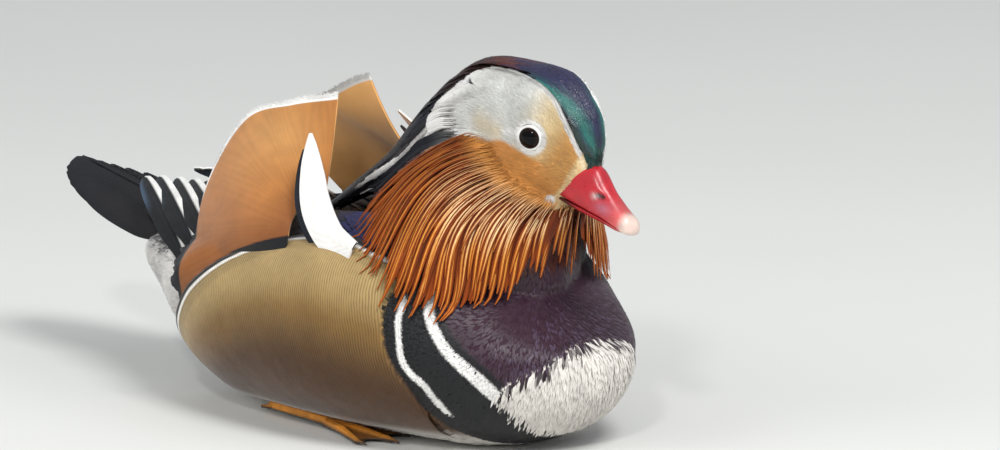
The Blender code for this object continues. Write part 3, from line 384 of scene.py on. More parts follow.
CREST_LINE = curve(head_place(*np.array([(27.8, 0, 0.5), (22, 0, 8.3), (15, 0, 14.6), (-3, 0, 20.8), (-24, 0, 15.6),
                                         (-40, 0, 8), (-51, 0, -6), (-61, 0, -25), (-75, 0, -49),
                                         (-108, 0, -84)], float).T))
CREST_WIDTH = smooth([(0, 5.5), (0.11, 8.7), (0.22, 11), (0.33, 14.3), (0.5, 15.8), (0.64, 17.5), (0.8, 17),
                      (0.91, 14), (1, 4)])
CREST_THICK = smooth([(0, 2.2), (0.22, 4), (0.46, 5), (0.64, 7), (0.82, 6.5), (0.93, 4.5), (1, 1.5)])
CREST_DROOP = smooth([(0, 1), (0.11, 2), (0.22, 2), (0.33, 1.2), (0.44, 4), (0.55, 5.5), (0.64, 3.5),
                      (0.72, 0.5), (0.76, 0)])


def crest_frame(t):
    """(centre, the way out of the head) on the crest's line."""
    ahead = unit(CREST_LINE(np.minimum(t + 0.02, 1)) - CREST_LINE(np.clip(t, 0, 1) - 0.02))
    out = unit(np.cross(ahead, RIGHT))
    centre = CREST_LINE(t) + ahead * 100 * np.maximum(0.0, np.asarray(t) - 1)[..., None]
    facing = dot(out, centre - np.array([90, 0, 120]))
    return centre, out * np.where(facing < 0, -1, 1)[..., None]


def crest_point(t, angle, lift=0.0):
    """Points of the crest. angle is 0 on its right edge and a quarter turn on its ridge."""
    centre, out = crest_frame(t)
    side = (CREST_WIDTH(t) + lift) * np.cos(angle)
    rise = (CREST_THICK(t) + lift) * np.sin(angle) - CREST_DROOP(t) * np.cos(angle) ** 2
    return centre + side[..., None] * RIGHT + rise[..., None] * out


def crest_normal(t, angle):
    centre, out = crest_frame(t)
    level = np.cos(angle) * (CREST_THICK(t) + 2 * CREST_DROOP(t) * np.sin(angle))
    upright = CREST_WIDTH(t) * np.sin(angle)
    return unit(level[..., None] * RIGHT + upright[..., None] * out)


# Sails

SAIL_FRONT_BASE, SAIL_REAR_BASE = np.array([24, -43, 84.0]), np.array([34, -54, 83.0])
SAIL_MARGIN = curve([(2, -10, 137.5), (-25, -12, 131), (-50, -16, 121), (-56, -32, 95), (-47, -50, 68),
                     (-50, -52, 39)])
SAIL_LEFT_RISE = 5.5
SAIL_LIFT = 2.7


def over_wing(p, lift):
    """p, moved to the right where needed to lie lift outside the wing, or under the flank's feathers."""
    x, y, z = p[..., 0], p[..., 1], p[..., 2]
    width, top, low, waist = torso_section(x)
    skin = torso_point(x, side_angle(x, np.minimum(z, top)))
    reach = -skin[..., 1] + wing_lift(x, skin) + lift * step(-5, 1, z - FLANK_LINE(x))
    near = (z < top) & (x > WING_REAR_X - 22) & (x < WING_FRONT_X) & (z > waist - 20)
    return xyz(x, np.where(near, np.minimum(y, -reach), y), z)


def sail_point(a, r, rise=0.0):
    """Points of the right sail. a runs from its front edge to its lower edge, r from base to margin."""
    a, r = np.broadcast_arrays(np.asarray(a, float), np.asarray(r, float))
    base = SAIL_FRONT_BASE + (SAIL_REAR_BASE - SAIL_FRONT_BASE) * a[..., None]
    lifted = rise * (1 - step(0.0, 0.28, a))
    end = SAIL_MARGIN(a) + lifted[..., None] * np.array([-0.3, 0, 1])
    turn = step(0, 1, a ** 0.6)[..., None]
    bow = np.array([-3, 4, -2]) * (1 - turn) + np.array([3, -6, 8]) * turn
    return over_wing(base + (end - base) * r[..., None] + bow * np.sin(np.pi * r)[..., None], SAIL_LIFT)


def sail_out(a, r, rise=0.0):
    along = sail_point(a, np.minimum(r + 0.05, 1), rise) - sail_point(a, np.maximum(r - 0.05, 0), rise)
    across = sail_point(np.minimum(a + 0.05, 1), r, rise) - sail_point(np.maximum(a - 0.05, 0), r, rise)
    out = unit(np.cross(along, across))
    return out * np.where(out[..., 1] > 0, -1, 1)[..., None]


# Meshes


def mesh_object(name, points, faces, material, uv=None, tint=None, vane=None, sharp=None):
    """A piece from points in millimetres and lists of faces of equal size each."""
    mesh = bpy.data.meshes.new(name)
    points = np.asarray(points, float).reshape(-1, 3)
    loops = np.concatenate([np.asarray(f).ravel() for f in faces])
    totals = np.concatenate([np.full(len(f), np.asarray(f).shape[1]) for f in faces])
    mesh.vertices.add(len(points))
    mesh.vertices.foreach_set("co", ((points + np.array([SHIFT_X, 0, 0])) * MM).ravel())
    mesh.loops.add(len(loops))
    mesh.loops.foreach_set("vertex_index", loops.astype(np.int32))
    mesh.polygons.add(len(totals))
    mesh.polygons.foreach_set("loop_start", (np.cumsum(totals) - totals).astype(np.int32))
    mesh.update(calc_edges=True)
    for layer, values in (("OFBake", uv), ("vane", vane)):
        if values is not None:
            mesh.uv_layers.new(name=layer).data.foreach_set("uv", values.reshape(-1, 2)[loops].ravel())
    if tint is not None:
        colours = np.ones((len(points), 4))
        colours[:, :3] = np.clip(tint.reshape(-1, 3), 0, 1)
        mesh.attributes.new("tint", "FLOAT_COLOR", "POINT").data.foreach_set("color", colours.ravel())
    mesh.shade_smooth()
    if sharp:
        mesh.set_sharp_from_angle(angle=math.radians(sharp))
    mesh.materials.append(material)
    made = bpy.data.objects.new(name, mesh)
    bpy.context.scene.collection.objects.link(made)
    return made


def loft(name, rings, first, last, material, **looks):
    """A closed body through rings of equal counts, closed by a point at each end."""
    rings = np.asarray(rings, float)
    high, wide = rings.shape[:2]
    i, j = np.meshgrid(np.arange(high - 1), np.arange(wide), indexing="ij")
    k = (j + 1) % wide
    quads = np.stack([i * wide + j, i * wide + k, (i + 1) * wide + k, (i + 1) * wide + j], -1).reshape(-1, 4)
    ring = np.arange(wide)
    start, end = high * wide, high * wide + 1
    low = np.stack([np.full(wide, start), (ring + 1) % wide, ring], -1)
    top = np.stack([np.full(wide, end), (high - 1) * wide + ring, (high - 1) * wide + (ring + 1) % wide], -1)
    points = np.vstack([rings.reshape(-1, 3), first, last])
    quads, low, top = outward(points, [quads, low, top])
    return mesh_object(name, points, [quads, low, top], material, **looks)


def outward(points, faces):
    """The faces, turned over if the closed body that they make is inside out."""
    volume = 0
    for f in faces:
        for i in range(1, f.shape[1] - 1):
            volume += dot(points[f[:, 0]], np.cross(points[f[:, i]], points[f[:, i + 1]])).sum()
    return faces if volume > 0 else [f[:, ::-1] for f in faces]


# Cross-sections of blades, as (share of the half width, share of the thickness)
TUFT = np.array([(-1, 0), (0, 1), (1, 0)], float)
VANE = np.array([(-1, 0), (-0.5, 0.75), (0, 1), (0.5, 0.75), (1, 0), (0, 0.2)], float)
PATCH = 0.003         # the size of a tuft's patch on the bake map


def blades(name, path, normal, width, thick, tint, root_uv, material, section=TUFT, sharp=45):
    """Many closed blades as one piece. path and normal are (rows, count, 3), width and thick (rows, count)."""
    rows, count = path.shape[:2]
    around = len(section)
    along = unit(np.gradient(path, axis=0))
    side = unit(np.cross(along, normal))
    up = np.cross(side, along)
    width, thick = np.broadcast_to(width, (rows, count)), np.broadcast_to(thick, (rows, count))
    s, h = section[:, 0][None, :, None], section[:, 1][None, :, None]
    points = (path[:, None] + side[:, None] * (width[:, None] / 2 * s)[..., None]
              + up[:, None] * (thick[:, None] * h)[..., None]).reshape(-1, 3)
    r, k, i = np.meshgrid(np.arange(rows - 1), np.arange(around), np.arange(count), indexing="ij")
    after = (k + 1) % around
    quads = np.stack([(r * around + k) * count + i, (r * around + after) * count + i,
                      ((r + 1) * around + after) * count + i, ((r + 1) * around + k) * count + i],
                     -1).reshape(-1, 4)
    ring = np.arange(around)[None, :] * count + np.arange(count)[:, None]
    caps = [ring[:, ::-1], ring + (rows - 1) * around * count]
    faces = outward(points, [quads] + caps)
    t = np.linspace(0, 1, rows)[:, None, None]
    local = np.stack(np.broadcast_arrays(s * 0.5, t - 0.5, i[:1, :1]), -1)[..., :2]
    uv = np.clip(root_uv, PATCH, 1 - PATCH)[None, None] + local * PATCH
    vane = np.broadcast_to(np.stack(np.broadcast_arrays((s + 1) / 2, t, i[:1, :1]), -1)[..., :2], uv.shape)
    colours = np.broadcast_to(tint, (rows, around, count, 3))
    return mesh_object(name, points, faces, material, uv=uv, tint=colours, vane=vane, sharp=sharp)


def plates(name, grid, ups, thick, tint, material, sharp=50):
    """Many closed sheets as one piece. grid and ups are (count, rows, across, 3).

    tint is the same, or has the front's and the back's colours in a second axis of 2.
    """
    count, high, wide = grid.shape[:3]
    half = np.broadcast_to(thick, (count, high, wide))[..., None] / 2
    points = np.stack([grid + ups * half, grid - ups * half], 1).reshape(-1, 3)
    i, j = np.meshgrid(np.arange(high - 1), np.arange(wide - 1), indexing="ij")
    a = (i * wide + j).ravel()
    front = np.stack([a, a + 1, a + wide + 1, a + wide], -1)
    back = front[:, ::-1] + high * wide
    rim = np.concatenate([np.arange(high) * wide, (high - 1) * wide + np.arange(1, wide),
                          np.arange(high - 2, -1, -1) * wide + wide - 1, np.arange(wide - 2, 0, -1)])
    after = np.roll(rim, -1)
    band = np.stack([rim, after, after + high * wide, rim + high * wide], -1)
    one = np.concatenate([front, back, band])
    one = outward(points[:2 * high * wide], [one])[0]
    faces = (one[None] + (np.arange(count) * 2 * high * wide)[:, None, None]).reshape(-1, 4)
    s, t = np.meshgrid(np.linspace(0, 1, wide), np.linspace(0, 1, high))
    vane = np.broadcast_to(np.stack([s, t], -1), (count, 2, high, wide, 2))
    cells = math.ceil(math.sqrt(count))
    place = np.stack([np.arange(count) % cells, np.arange(count) // cells], -1)[:, None, None, None, :]
    half_cell = np.array([0, 0.5])[None, :, None, None]
    uv = np.stack([vane[..., 0] * 0.45 + 0.02 + half_cell, vane[..., 1] * 0.94 + 0.03 + 0 * half_cell], -1)
    uv = (uv + place) / cells
    colours = np.broadcast_to(tint if tint.ndim == 5 else tint[:, None], (count, 2, high, wide, 3))
    return mesh_object(name, points, [faces], material, uv=uv, tint=colours, vane=vane, sharp=sharp)


def quills(path, ups, width, across, camber):
    """(grid, ups) of feathers along path, which is (count, rows, 3), as ups is. width is (count, rows)."""
    along = unit(np.gradient(path, axis=1))
    side = unit(np.cross(along, ups))
    up = np.cross(side, along)
    s = np.linspace(-1, 1, across)
    grid = (path[:, :, None] + side[:, :, None] * (width[:, :, None] / 2 * s)[..., None]
            + up[:, :, None] * (camber * width[:, :, None] * (1 - s ** 2))[..., None])
    return grid, np.broadcast_to(up[:, :, None], grid.shape)


def feather_width(t, tip=0.3):
    """A feather's share of its full width, from its root to its rounded tip."""
    return (0.55 + 0.45 * step(0, 0.35, t)) * (tip + (1 - tip) * round_end(t, 0.5, 1.0, 2.2))


# Materials


class Nodes:
    """A short way to write a material's nodes."""

    def __init__(self, name):
        self.material = bpy.data.materials.new(name)
        self.material.use_nodes = True
        self.tree = self.material.node_tree
        self.shader = self.tree.nodes["Principled BSDF"]

    def add(self, kind, inputs=(), **settings):
        node = self.tree.nodes.new(kind)
        for key, value in settings.items():
            setattr(node, key, value)
        for key, value in dict(inputs).items():
            if isinstance(value, bpy.types.NodeSocket):
                self.tree.links.new(value, node.inputs[key])
            else:
                node.inputs[key].default_value = value
        return node

    def math(self, operation, a, b=0.5):
        return self.add("ShaderNodeMath", {0: a, 1: b}, operation=operation).outputs[0]

    def spread(self, value, low, high, to_low, to_high):
        inputs = {"Value": value, "From Min": low, "From Max": high, "To Min": to_low, "To Max": to_high}
        return self.add("ShaderNodeMapRange", inputs).outputs["Result"]

    def tint(self):
        return self.add("ShaderNodeAttribute", attribute_name="tint").outputs["Color"]

    def times(self, colour, factor):
        return self.add("ShaderNodeVectorMath", {0: colour, 1: factor}, operation="MULTIPLY").outputs[0]

    def mix(self, factor, a, b):
        node = self.add("ShaderNodeMix", data_type="RGBA")
        for socket, value in (("Factor_Float", factor), ("A_Color", a), ("B_Color", b)):
            target = next(i for i in node.inputs if i.identifier == socket)
            if isinstance(value, bpy.types.NodeSocket):
                self.tree.links.new(value, target)
            else:
                target.default_value = value if socket == "Factor_Float" else (*value, 1)
        return next(o for o in node.outputs if o.identifier == "Result_Color")

    def place(self):
        return self.add("ShaderNodeTexCoord").outputs["Object"]

    def noise(self, scale, detail=2.0, vector=None):
        inputs = {"Scale": scale, "Detail": detail, "Vector": vector or self.place()}
        return self.add("ShaderNodeTexNoise", inputs).outputs["Fac"]

    def barbs(self, across, along):
        """Fine lines that lean away from a vane's shaft, from 0 to 1."""
        uv = self.add("ShaderNodeUVMap", uv_map="vane").outputs["UV"]
        split = self.add("ShaderNodeSeparateXYZ", {0: uv})
        off = self.math("ABSOLUTE", self.math("SUBTRACT", split.outputs[0], 0.5))
        lean = self.math("SUBTRACT", self.math("MULTIPLY", split.outputs[1], along),
                         self.math("MULTIPLY", off, across))
        wave = self.math("SINE", self.math("ADD", lean, self.math("MULTIPLY", self.noise(400.0), 3.0)))
        return self.spread(wave, -1.0, 1.0, 0.0, 1.0)

    def set(self, **values):
        names = {"colour": "Base Color", "roughness": "Roughness", "sheen": "Sheen Weight",
                 "sheen_roughness": "Sheen Roughness", "sheen_tint": "Sheen Tint", "coat": "Coat Weight",
                 "coat_roughness": "Coat Roughness", "normal": "Normal", "specular": "Specular IOR Level",
                 "subsurface": "Subsurface Weight", "subsurface_scale": "Subsurface Scale", "ior": "IOR",
                 "metallic": "Metallic"}
        for key, value in values.items():
            socket = self.shader.inputs[names[key]]
            if isinstance(value, bpy.types.NodeSocket):
                self.tree.links.new(value, socket)
            else:
                socket.default_value = value
        return self.material

    def bump(self, height, strength, distance):
        inputs = {"Height": height, "Strength": strength, "Distance": distance}
        return self.add("ShaderNodeBump", inputs).outputs["Normal"]


def plumage(name, barb_lines=(60.0, 90.0), barb_shade=0.16, rough=0.62, gloss=0.4, sheen=0.25, mottle=0.14,
            relief=0.5):
    """A feather's material: the piece's own colours, with barbs, slight mottling and a soft sheen."""
    n = Nodes(name)
    barbs = n.barbs(*barb_lines)
    shade = n.spread(barbs, 0.0, 1.0, 1.0 - barb_shade, 1.0 + barb_shade * 0.6)
    patches = n.spread(n.noise(90.0, 3.0), 0.3, 0.7, 1.0 - mottle, 1.0 + mottle)
    colour = n.times(n.times(n.tint(), shade), patches)
    height = n.math("ADD", n.math("MULTIPLY", barbs, 0.7), n.math("MULTIPLY", n.noise(1500.0), 0.6))
    roughness = n.spread(n.noise(260.0), 0.3, 0.7, rough - 0.08, rough + 0.1)
    return n.set(colour=colour, roughness=roughness, sheen=sheen, sheen_roughness=0.4, specular=gloss,
                 normal=n.bump(height, relief, 0.00025))


def vermiculated(name):
    """The flank's material: fine dark lines that waver across the feathers."""
    n = Nodes(name)
    wobble = n.math("MULTIPLY", n.noise(52.0, 2.0), 18.0)
    split = n.add("ShaderNodeSeparateXYZ", {0: n.place()})
    run = n.math("ADD", n.math("MULTIPLY", split.outputs[0], 5000.0), n.math("MULTIPLY", split.outputs[2], 1300.0))
    lines = n.spread(n.math("SINE", n.math("ADD", run, wobble)), -0.3, 0.9, 0.0, 1.0)
    broken = n.math("MULTIPLY", lines, n.spread(n.noise(300.0), 0.35, 0.6, 0.6, 1.0))
    factor = n.spread(broken, 0.0, 1.0, 1.08, 0.6)
    patches = n.spread(n.noise(60.0, 3.0), 0.3, 0.7, 0.92, 1.1)
    colour = n.times(n.times(n.tint(), factor), patches)
    barbs = n.barbs(40.0, 60.0)
    height = n.math("ADD", n.math("MULTIPLY", barbs, 0.5), n.noise(1400.0))
    return n.set(colour=colour, roughness=n.spread(n.noise(200.0), 0.3, 0.7, 0.56, 0.72), sheen=0.3,
                 sheen_roughness=0.4, specular=0.35, normal=n.bump(height, 0.45, 0.00025))


def skin_material(name):
    n = Nodes(name)
    fine = n.noise(1200.0, 3.0)
    colour = n.times(n.tint(), n.spread(fine, 0.3, 0.7, 0.82, 1.1))
    return n.set(colour=colour, roughness=n.spread(fine, 0.3, 0.7, 0.6, 0.8), sheen=0.3,
                 sheen_roughness=0.4, specular=0.3, normal=n.bump(fine, 0.5, 0.0004))


def horn_material(name, rough=0.32, scale=700.0, coat=0.3):
    """Bill, lid or claw: the piece's own colours under a thin gloss, finely pitted."""
    n = Nodes(name)
    fine = n.noise(scale, 3.0)
    broad = n.noise(170.0, 4.0)
    colour = n.times(n.tint(), n.spread(broad, 0.3, 0.7, 0.78, 1.12))
    height = n.math("ADD", n.math("MULTIPLY", fine, 0.4), broad)
    return n.set(colour=colour, roughness=n.spread(fine, 0.3, 0.7, rough - 0.06, rough + 0.12), coat=coat,
                 coat_roughness=0.2, subsurface=0.05, subsurface_scale=0.001, normal=n.bump(height, 0.25, 0.0004))


def eye_material(name):
    n = Nodes(name)
    streaks = n.noise(900.0, 4.0)
    colour = n.times(n.tint(), n.spread(streaks, 0.3, 0.7, 0.7, 1.3))
    return n.set(colour=colour, roughness=n.spread(streaks, 0.3, 0.7, 0.1, 0.16), coat=0.2, coat_roughness=0.02,
                 ior=1.3, specular=0.15)


def scaly_material(name):
    """The feet: small scales of one size over the toes and the webs, dark low down and yellow above."""
    n = Nodes(name)
    cells = n.add("ShaderNodeTexVoronoi", {"Vector": n.place(), "Scale": 620.0})
    edge = n.spread(cells.outputs["Distance"], 0.1, 0.7, 1.0, 0.0)
    split = n.add("ShaderNodeSeparateXYZ", {0: n.place()})
    low = n.spread(split.outputs[2], 0.0016, 0.0034, 0.0, 1.0)
    colour = n.mix(low, WEB_DARK, LEG_YELLOW)
    colour = n.times(colour, n.spread(n.noise(160.0, 3.0), 0.3, 0.7, 0.8, 1.15))
    return n.set(colour=colour, roughness=n.spread(n.noise(400.0), 0.3, 0.7, 0.4, 0.6), specular=0.5,
                 normal=n.bump(edge, 0.5, 0.0003))


# Markings


def across(p, line, ahead):
    """How far points are from a line of points: more than 0 on its ahead side."""
    shape = p.shape[:-1]
    p = p.reshape(-1, 3)
    tangent = unit(np.gradient(line, axis=0))
    side = unit(ahead - tangent * dot(tangent, ahead)[:, None])
    far = np.empty(len(p))
    for start in range(0, len(p), 20000):
        gap = p[start:start + 20000, None] - line[None]
        near = np.argmin(dot(gap, gap), axis=1)
        off = gap[np.arange(len(near)), near]
        off = off - tangent[near] * dot(off, tangent[near])[:, None]
        far[start:start + 20000] = np.linalg.norm(off, axis=1) * np.sign(dot(off, side[near]))
    return far.reshape(shape)


def samples(points, count=60):
    return curve(points)(np.linspace(0, 1, count))


# Lines of the right side's markings
DARK_REAR = samples([(83, -56, 76), (83.1, -57, 70), (82.8, -60, 64), (83.5, -63, 56), (86, -63.4, 46),
                     (90.2, -62, 38), (94.5, -59, 31.6), (100, -54, 20), (107, -47, 8), (112, -40, 0)])
BAR_REAR = samples([(89.6, -55, 72), (89.6, -57.5, 65), (89.7, -60, 59), (91.4, -61.6, 51), (92.9, -60.8, 42.4),
                    (97, -59, 36.3), (101.6, -56.4, 32), (107, -51, 22), (113, -45, 12), (118, -38, 3)])
BAR_FRONT = samples([(95, -44, 75), (98.7, -50, 65), (102, -53.3, 60), (106, -53.5, 54), (111, -52.7, 48),
                     (117, -50.4, 42.3), (121, -47.5, 38.3), (125.7, -44.3, 33), (131, -39, 25), (136, -32, 14)])
BROW = samples([(58, -13, 130), (69.8, -15.4, 142.8), (78.7, -15.3, 151.7), (87.5, -15.2, 157), (94.6, -13.3, 160),
                (101.3, -11.1, 161.4), (111, -9, 160.2), (121.5, -7.6, 156.3), (131.6, -8.9, 152.3),
                (139.2, -8.9, 141.8), (143.6, -6.2, 131.5), (145.5, -5.5, 126)])
BILL_BASE = samples([(142.5, -6.5, 127), (139.5, -8.5, 121), (136.8, -9.3, 116), (133, -9.3, 112)])
FLANK_X = np.linspace(-58, 90, 60)
FLANK_LOW_X, FLANK_LOW_Z = np.array([-50.0, -54.0, -57.0]), np.array([2.0, 11.0, 21.0])
FLANK_EDGE = np.vstack([torso_point(FLANK_LOW_X, side_angle(FLANK_LOW_X, FLANK_LOW_Z)),
                        torso_point(FLANK_X, side_angle(FLANK_X, FLANK_LINE(FLANK_X)))])
FLANK_ABOVE = np.array([-0.7, 0.2, 1.0])
BELLY_TOP = smooth([(0, 50), (12, 48.5), (21, 45.5), (29, 40.5), (35, 37), (39, 33), (48, 24), (56, 14), (66, 4)])
WHITE_LOW = smooth([(-60, -27), (-49.4, -21.9), (-32, -15), (-20.8, -11.5), (-9.8, -6.8), (0, -7.5), (10, -8.5),
                    (30, -13)])
BAR_REAR_HALF, BAR_FRONT_HALF = 1.5, 2.2
LIGHT_LINES = (4.6, 6.2, 7.6, 8.8)


def torso_colour(p):
    """The colour of the feathers at points of the torso."""
    q = p * np.array([1, 1, 1])
    q[..., 1] = -np.abs(q[..., 1])
    x, z = q[..., 0], q[..., 2]
    depth = -across(q, FLANK_EDGE, FLANK_ABOVE)
    low = step(4, 62, FLANK_LINE(x) - z)
    flank = blend(blend(FLANK_PALE, FLANK_GOLD, step(0.0, 0.4, low)), FLANK_BROWN, step(0.25, 0.95, low))
    for line in LIGHT_LINES:
        fade = 0.5 * (1 - (line - 4) / 7)
        flank = blend(flank, BLACK, fade * np.exp(-((depth - line) / 0.45) ** 2))
    flank = blend(flank, WHITE, step(1.9, 2.5, depth) * (1 - step(3.4, 4.0, depth)))
    flank = blend(flank, BLACK, 1 - step(1.8, 2.3, depth))
    flank = blend(flank, BELLY_WHITE, 1 - step(3, 12, z))
    vent = blend(VENT_GREY, TAIL_BROWN, step(60, 66, z))
    vent = blend(vent, BLUE_BLACK, 0.35 * np.exp(-((x + 78) / 9) ** 2 - ((z - 52) / 5) ** 2))
    above = blend(vent, BLUE_BLACK, step(-54, -48, x))
    colour = blend(flank, above, step(-0.2, 0.2, -depth))
    dark = across(q, DARK_REAR, np.array([1, 0, 0.3]))
    colour = blend(colour, BLACK, step(-0.3, 0.5, dark))
    bar = np.abs(across(q, BAR_REAR, np.array([1, 0, 0.3])))
    colour = blend(colour, WHITE, 1 - step(BAR_REAR_HALF - 0.3, BAR_REAR_HALF + 0.3, bar))
    front = across(q, BAR_FRONT, np.array([1, 0, 0.7]))
    half = BAR_FRONT_HALF + 0.9 * (1 - step(30, 55, z))
    colour = blend(colour, BREAST, step(half + 2.6, half + 6.0, front))
    colour = blend(colour, WHITE, 1 - step(half - 0.3, half + 0.3, np.abs(front)))
    belly = step(-0.8, 0.8, BELLY_TOP(np.abs(q[..., 1])) - z) * step(half + 0.5, half + 1.5, front)
    near_belly = step(-5, -1, BELLY_TOP(np.abs(q[..., 1])) - z) * step(half + 0.5, half + 1.5, front)
    colour = blend(colour, BREAST_DARK, 0.6 * near_belly)
    return blend(colour, BELLY_WHITE, belly)


def head_colour(p):
    """The colour of the feathers at points of the head."""
    q = p * np.array([1, 1, 1])
    q[..., 1] = -np.abs(q[..., 1])
    along, side, up = head_coordinates(q)
    brow = across(q, BROW, np.array([0, 1, 1]))
    colour = blend(FACE_GREY, CREAM, step(-9, 10, along - 0.1 * up))
    colour = blend(colour, WHITE, 1 - step(-46, -30, along))
    colour = blend(colour, TAN, step(5, 17, along - 0.35 * up))
    colour = blend(colour, CHEEK, 0.8 * step(6, 20, -up) * step(-8, 2, along))
    colour = blend(colour, CREAM, 0.5 * np.exp(-((up + 6) / 4.5) ** 2) * (1 - step(-16, -9, along))
                   * step(-36, -26, along))
    under = step(-0.8, 1.6, WHITE_LOW(along) - up) * (1 - step(6, 16, along))
    colour = blend(colour, CHEEK, under)
    colour = blend(colour, RUFF_DARK, under * (1 - step(-44, -22, along)) * 0.7)
    patch = under * (1 - step(-34, -29, along)) * (1 - step(4.0, 6.0, WHITE_LOW(along) - up))
    colour = blend(colour, BLUE_BLACK, patch)
    eye = np.linalg.norm(q - EYE_SKIN, axis=-1)
    ring = 1 - step(6.9, 8.4, eye)
    tail = np.exp(-((up - (along + 6) * 0.28 + 1.4) / 1.5) ** 2) * step(-14, -10, along) * (1 - step(-5, -3, along))
    colour = blend(colour, WHITE, np.maximum(ring, tail))
    colour = blend(colour, WHITE, step(-2.3, -1.5, brow) * step(-30, -20, along))
    colour = blend(colour, BLUE_BLACK, step(-0.2, 0.5, brow - 3.4 * (1 - step(-34, -24, along))))
    base = across(q, BILL_BASE, np.array([1, 0, 0]))
    colour = blend(colour, CREAM, 0.8 * step(-0.7, 0.1, base))
    spot = np.linalg.norm(q - np.array([129.9, -10.1, 108.8]), axis=-1)
    return blend(colour, WHITE, 1 - step(1.6, 2.6, spot))


def is_head(p):
    """1 where a point belongs to the head, 0 where to the neck or torso."""
    along, side, up = head_coordinates(p)
    return (p[..., 2] > 105) & (up > -31) & (along > -62)


def body_colour(p):
    colour = torso_colour(p)
    head = is_head(p)
    colour[head] = head_colour(p[head])
    neck = ~head & (p[..., 2] > 82) & (p[..., 0] > 20)
    colour[neck] = RUFF_DARK
    return colour


def skin_uv(p):
    """A place on the unwrapped skin: the torso is opened along its belly, the head and neck along the nape."""
    torso_u = np.arctan2(p[..., 1], p[..., 2] - 48) / (2 * np.pi) + 0.5
    torso_v = 0.02 + 0.54 * (p[..., 0] - RUMP_X) / (BREAST_X - RUMP_X)
    head_u = np.arctan2(p[..., 1], p[..., 0] - 100) / (2 * np.pi) + 0.5
    head_v = 0.6 + 0.38 * np.clip((p[..., 2] - 82) / 85, 0, 1)
    head = (p[..., 2] > 92) & (p[..., 0] > 20)
    return np.stack([np.where(head, head_u, torso_u), np.where(head, head_v, torso_v)], -1)


# The skin


def evaluated(obj):
    graph = bpy.context.evaluated_depsgraph_get()
    mesh = bpy.data.meshes.new_from_object(obj.evaluated_get(graph))
    obj.modifiers.clear()
    obj.data = mesh
    return obj


def joined(name, parts, material):
    """One object from closed bodies (rings, first, last) that may cross."""
    points, quads, tris, start = [], [], [], 0
    for rings, first, last in parts:
        rings = np.asarray(rings, float)
        high, wide = rings.shape[:2]
        i, j = np.meshgrid(np.arange(high - 1), np.arange(wide), indexing="ij")
        k = (j + 1) % wide
        body = np.stack([i * wide + j, i * wide + k, (i + 1) * wide + k, (i + 1) * wide + j], -1).reshape(-1, 4)
        ring = np.arange(wide)
        caps = [np.stack([np.full(wide, high * wide), (ring + 1) % wide, ring], -1),
                np.stack([np.full(wide, high * wide + 1), (high - 1) * wide + ring,
                          (high - 1) * wide + (ring + 1) % wide], -1)]
        own = np.vstack([rings.reshape(-1, 3), first, last])
        body, low, top = outward(own, [body] + caps)
        points.append(own)
        quads.append(body + start)
        tris += [low + start, top + start]
        start += len(own)
    return mesh_object(name, np.vstack(points), quads + tris, material)


def mesh_arrays(obj):
    """(points in millimetres in the bird's frame, normals) of a mesh's vertices."""
    mesh = obj.data
    co = np.empty(len(mesh.vertices) * 3)
    mesh.vertices.foreach_get("co", co)
    normals = np.empty(len(mesh.vertices) * 3)
    mesh.vertex_normals.foreach_get("vector", normals)
    return co.reshape(-1, 3) / MM - np.array([SHIFT_X, 0, 0]), normals.reshape(-1, 3)


def add_tint(mesh, colours):
    data = np.ones((len(colours), 4))
    data[:, :3] = np.clip(colours, 0, 1)
    mesh.attributes.new("tint", "FLOAT_COLOR", "POINT").data.foreach_set("color", data.ravel())


def torso_rings(stations=150, around=180):
    rings = []
    for x in crowded(RUMP_X + COAT_DEPTH, BREAST_X - COAT_DEPTH, stations)[1:-1]:
        edge = side_angle(x, FLANK_LINE(x))
        angle = -np.pi / 2 + np.pi * (np.arange(around // 2) + 0.5) / (around // 2)
        along = (step(FLANK_REAR_X - 12, FLANK_REAR_X, x)
                 * (1 - step(FLANK_FRONT_X - 6, FLANK_FRONT_X + 6, x)))
        flat = torso_point(np.full(angle.shape, x), angle)
        inset = WING_RECESS * along * step(3.0, 14.0, np.abs(flat[..., 1])) * step(edge - 0.02, edge + 0.02, angle)
        right = torso_point(np.full(angle.shape, x), angle, -COAT_DEPTH, inset)
        rings.append(np.vstack([right, mirror(right[::-1])]))
    return rings


def head_rings(stations=60, around=72):
    angle = 2 * np.pi * (np.arange(around) + 0.5) / around
    return [head_point(np.full(around, a), angle, -0.8) for a in crowded(HEAD_BACK + 1, HEAD_FRONT - 1, stations)[1:-1]]


def neck_rings():
    rows = np.linspace(0, 1, 22)
    sunk = smooth(NECK_DEPTHS)
    rings = [neck_ring(r, sunk(r) + COAT_DEPTH) for r in rows]
    count = len(rings[0])
    top = [oval(np.array([98, 0, 139]), 22, 10, count)]
    low = [oval(np.array([94, 0, 70]), 30, 26, count), oval(np.array([94, 0, 58]), 24, 20, count)]
    return top + rings + low


def crest_rings(last=0.72, stations=30, around=40):
    angle = 2 * np.pi * (np.arange(around) + 0.5) / around
    return [crest_point(np.full(around, t), angle, -2.2 - 1.0 * (1 - step(0.35, 0.55, t)))
            for t in np.linspace(0, last, stations)]


SKIN_VOXEL = 1.3


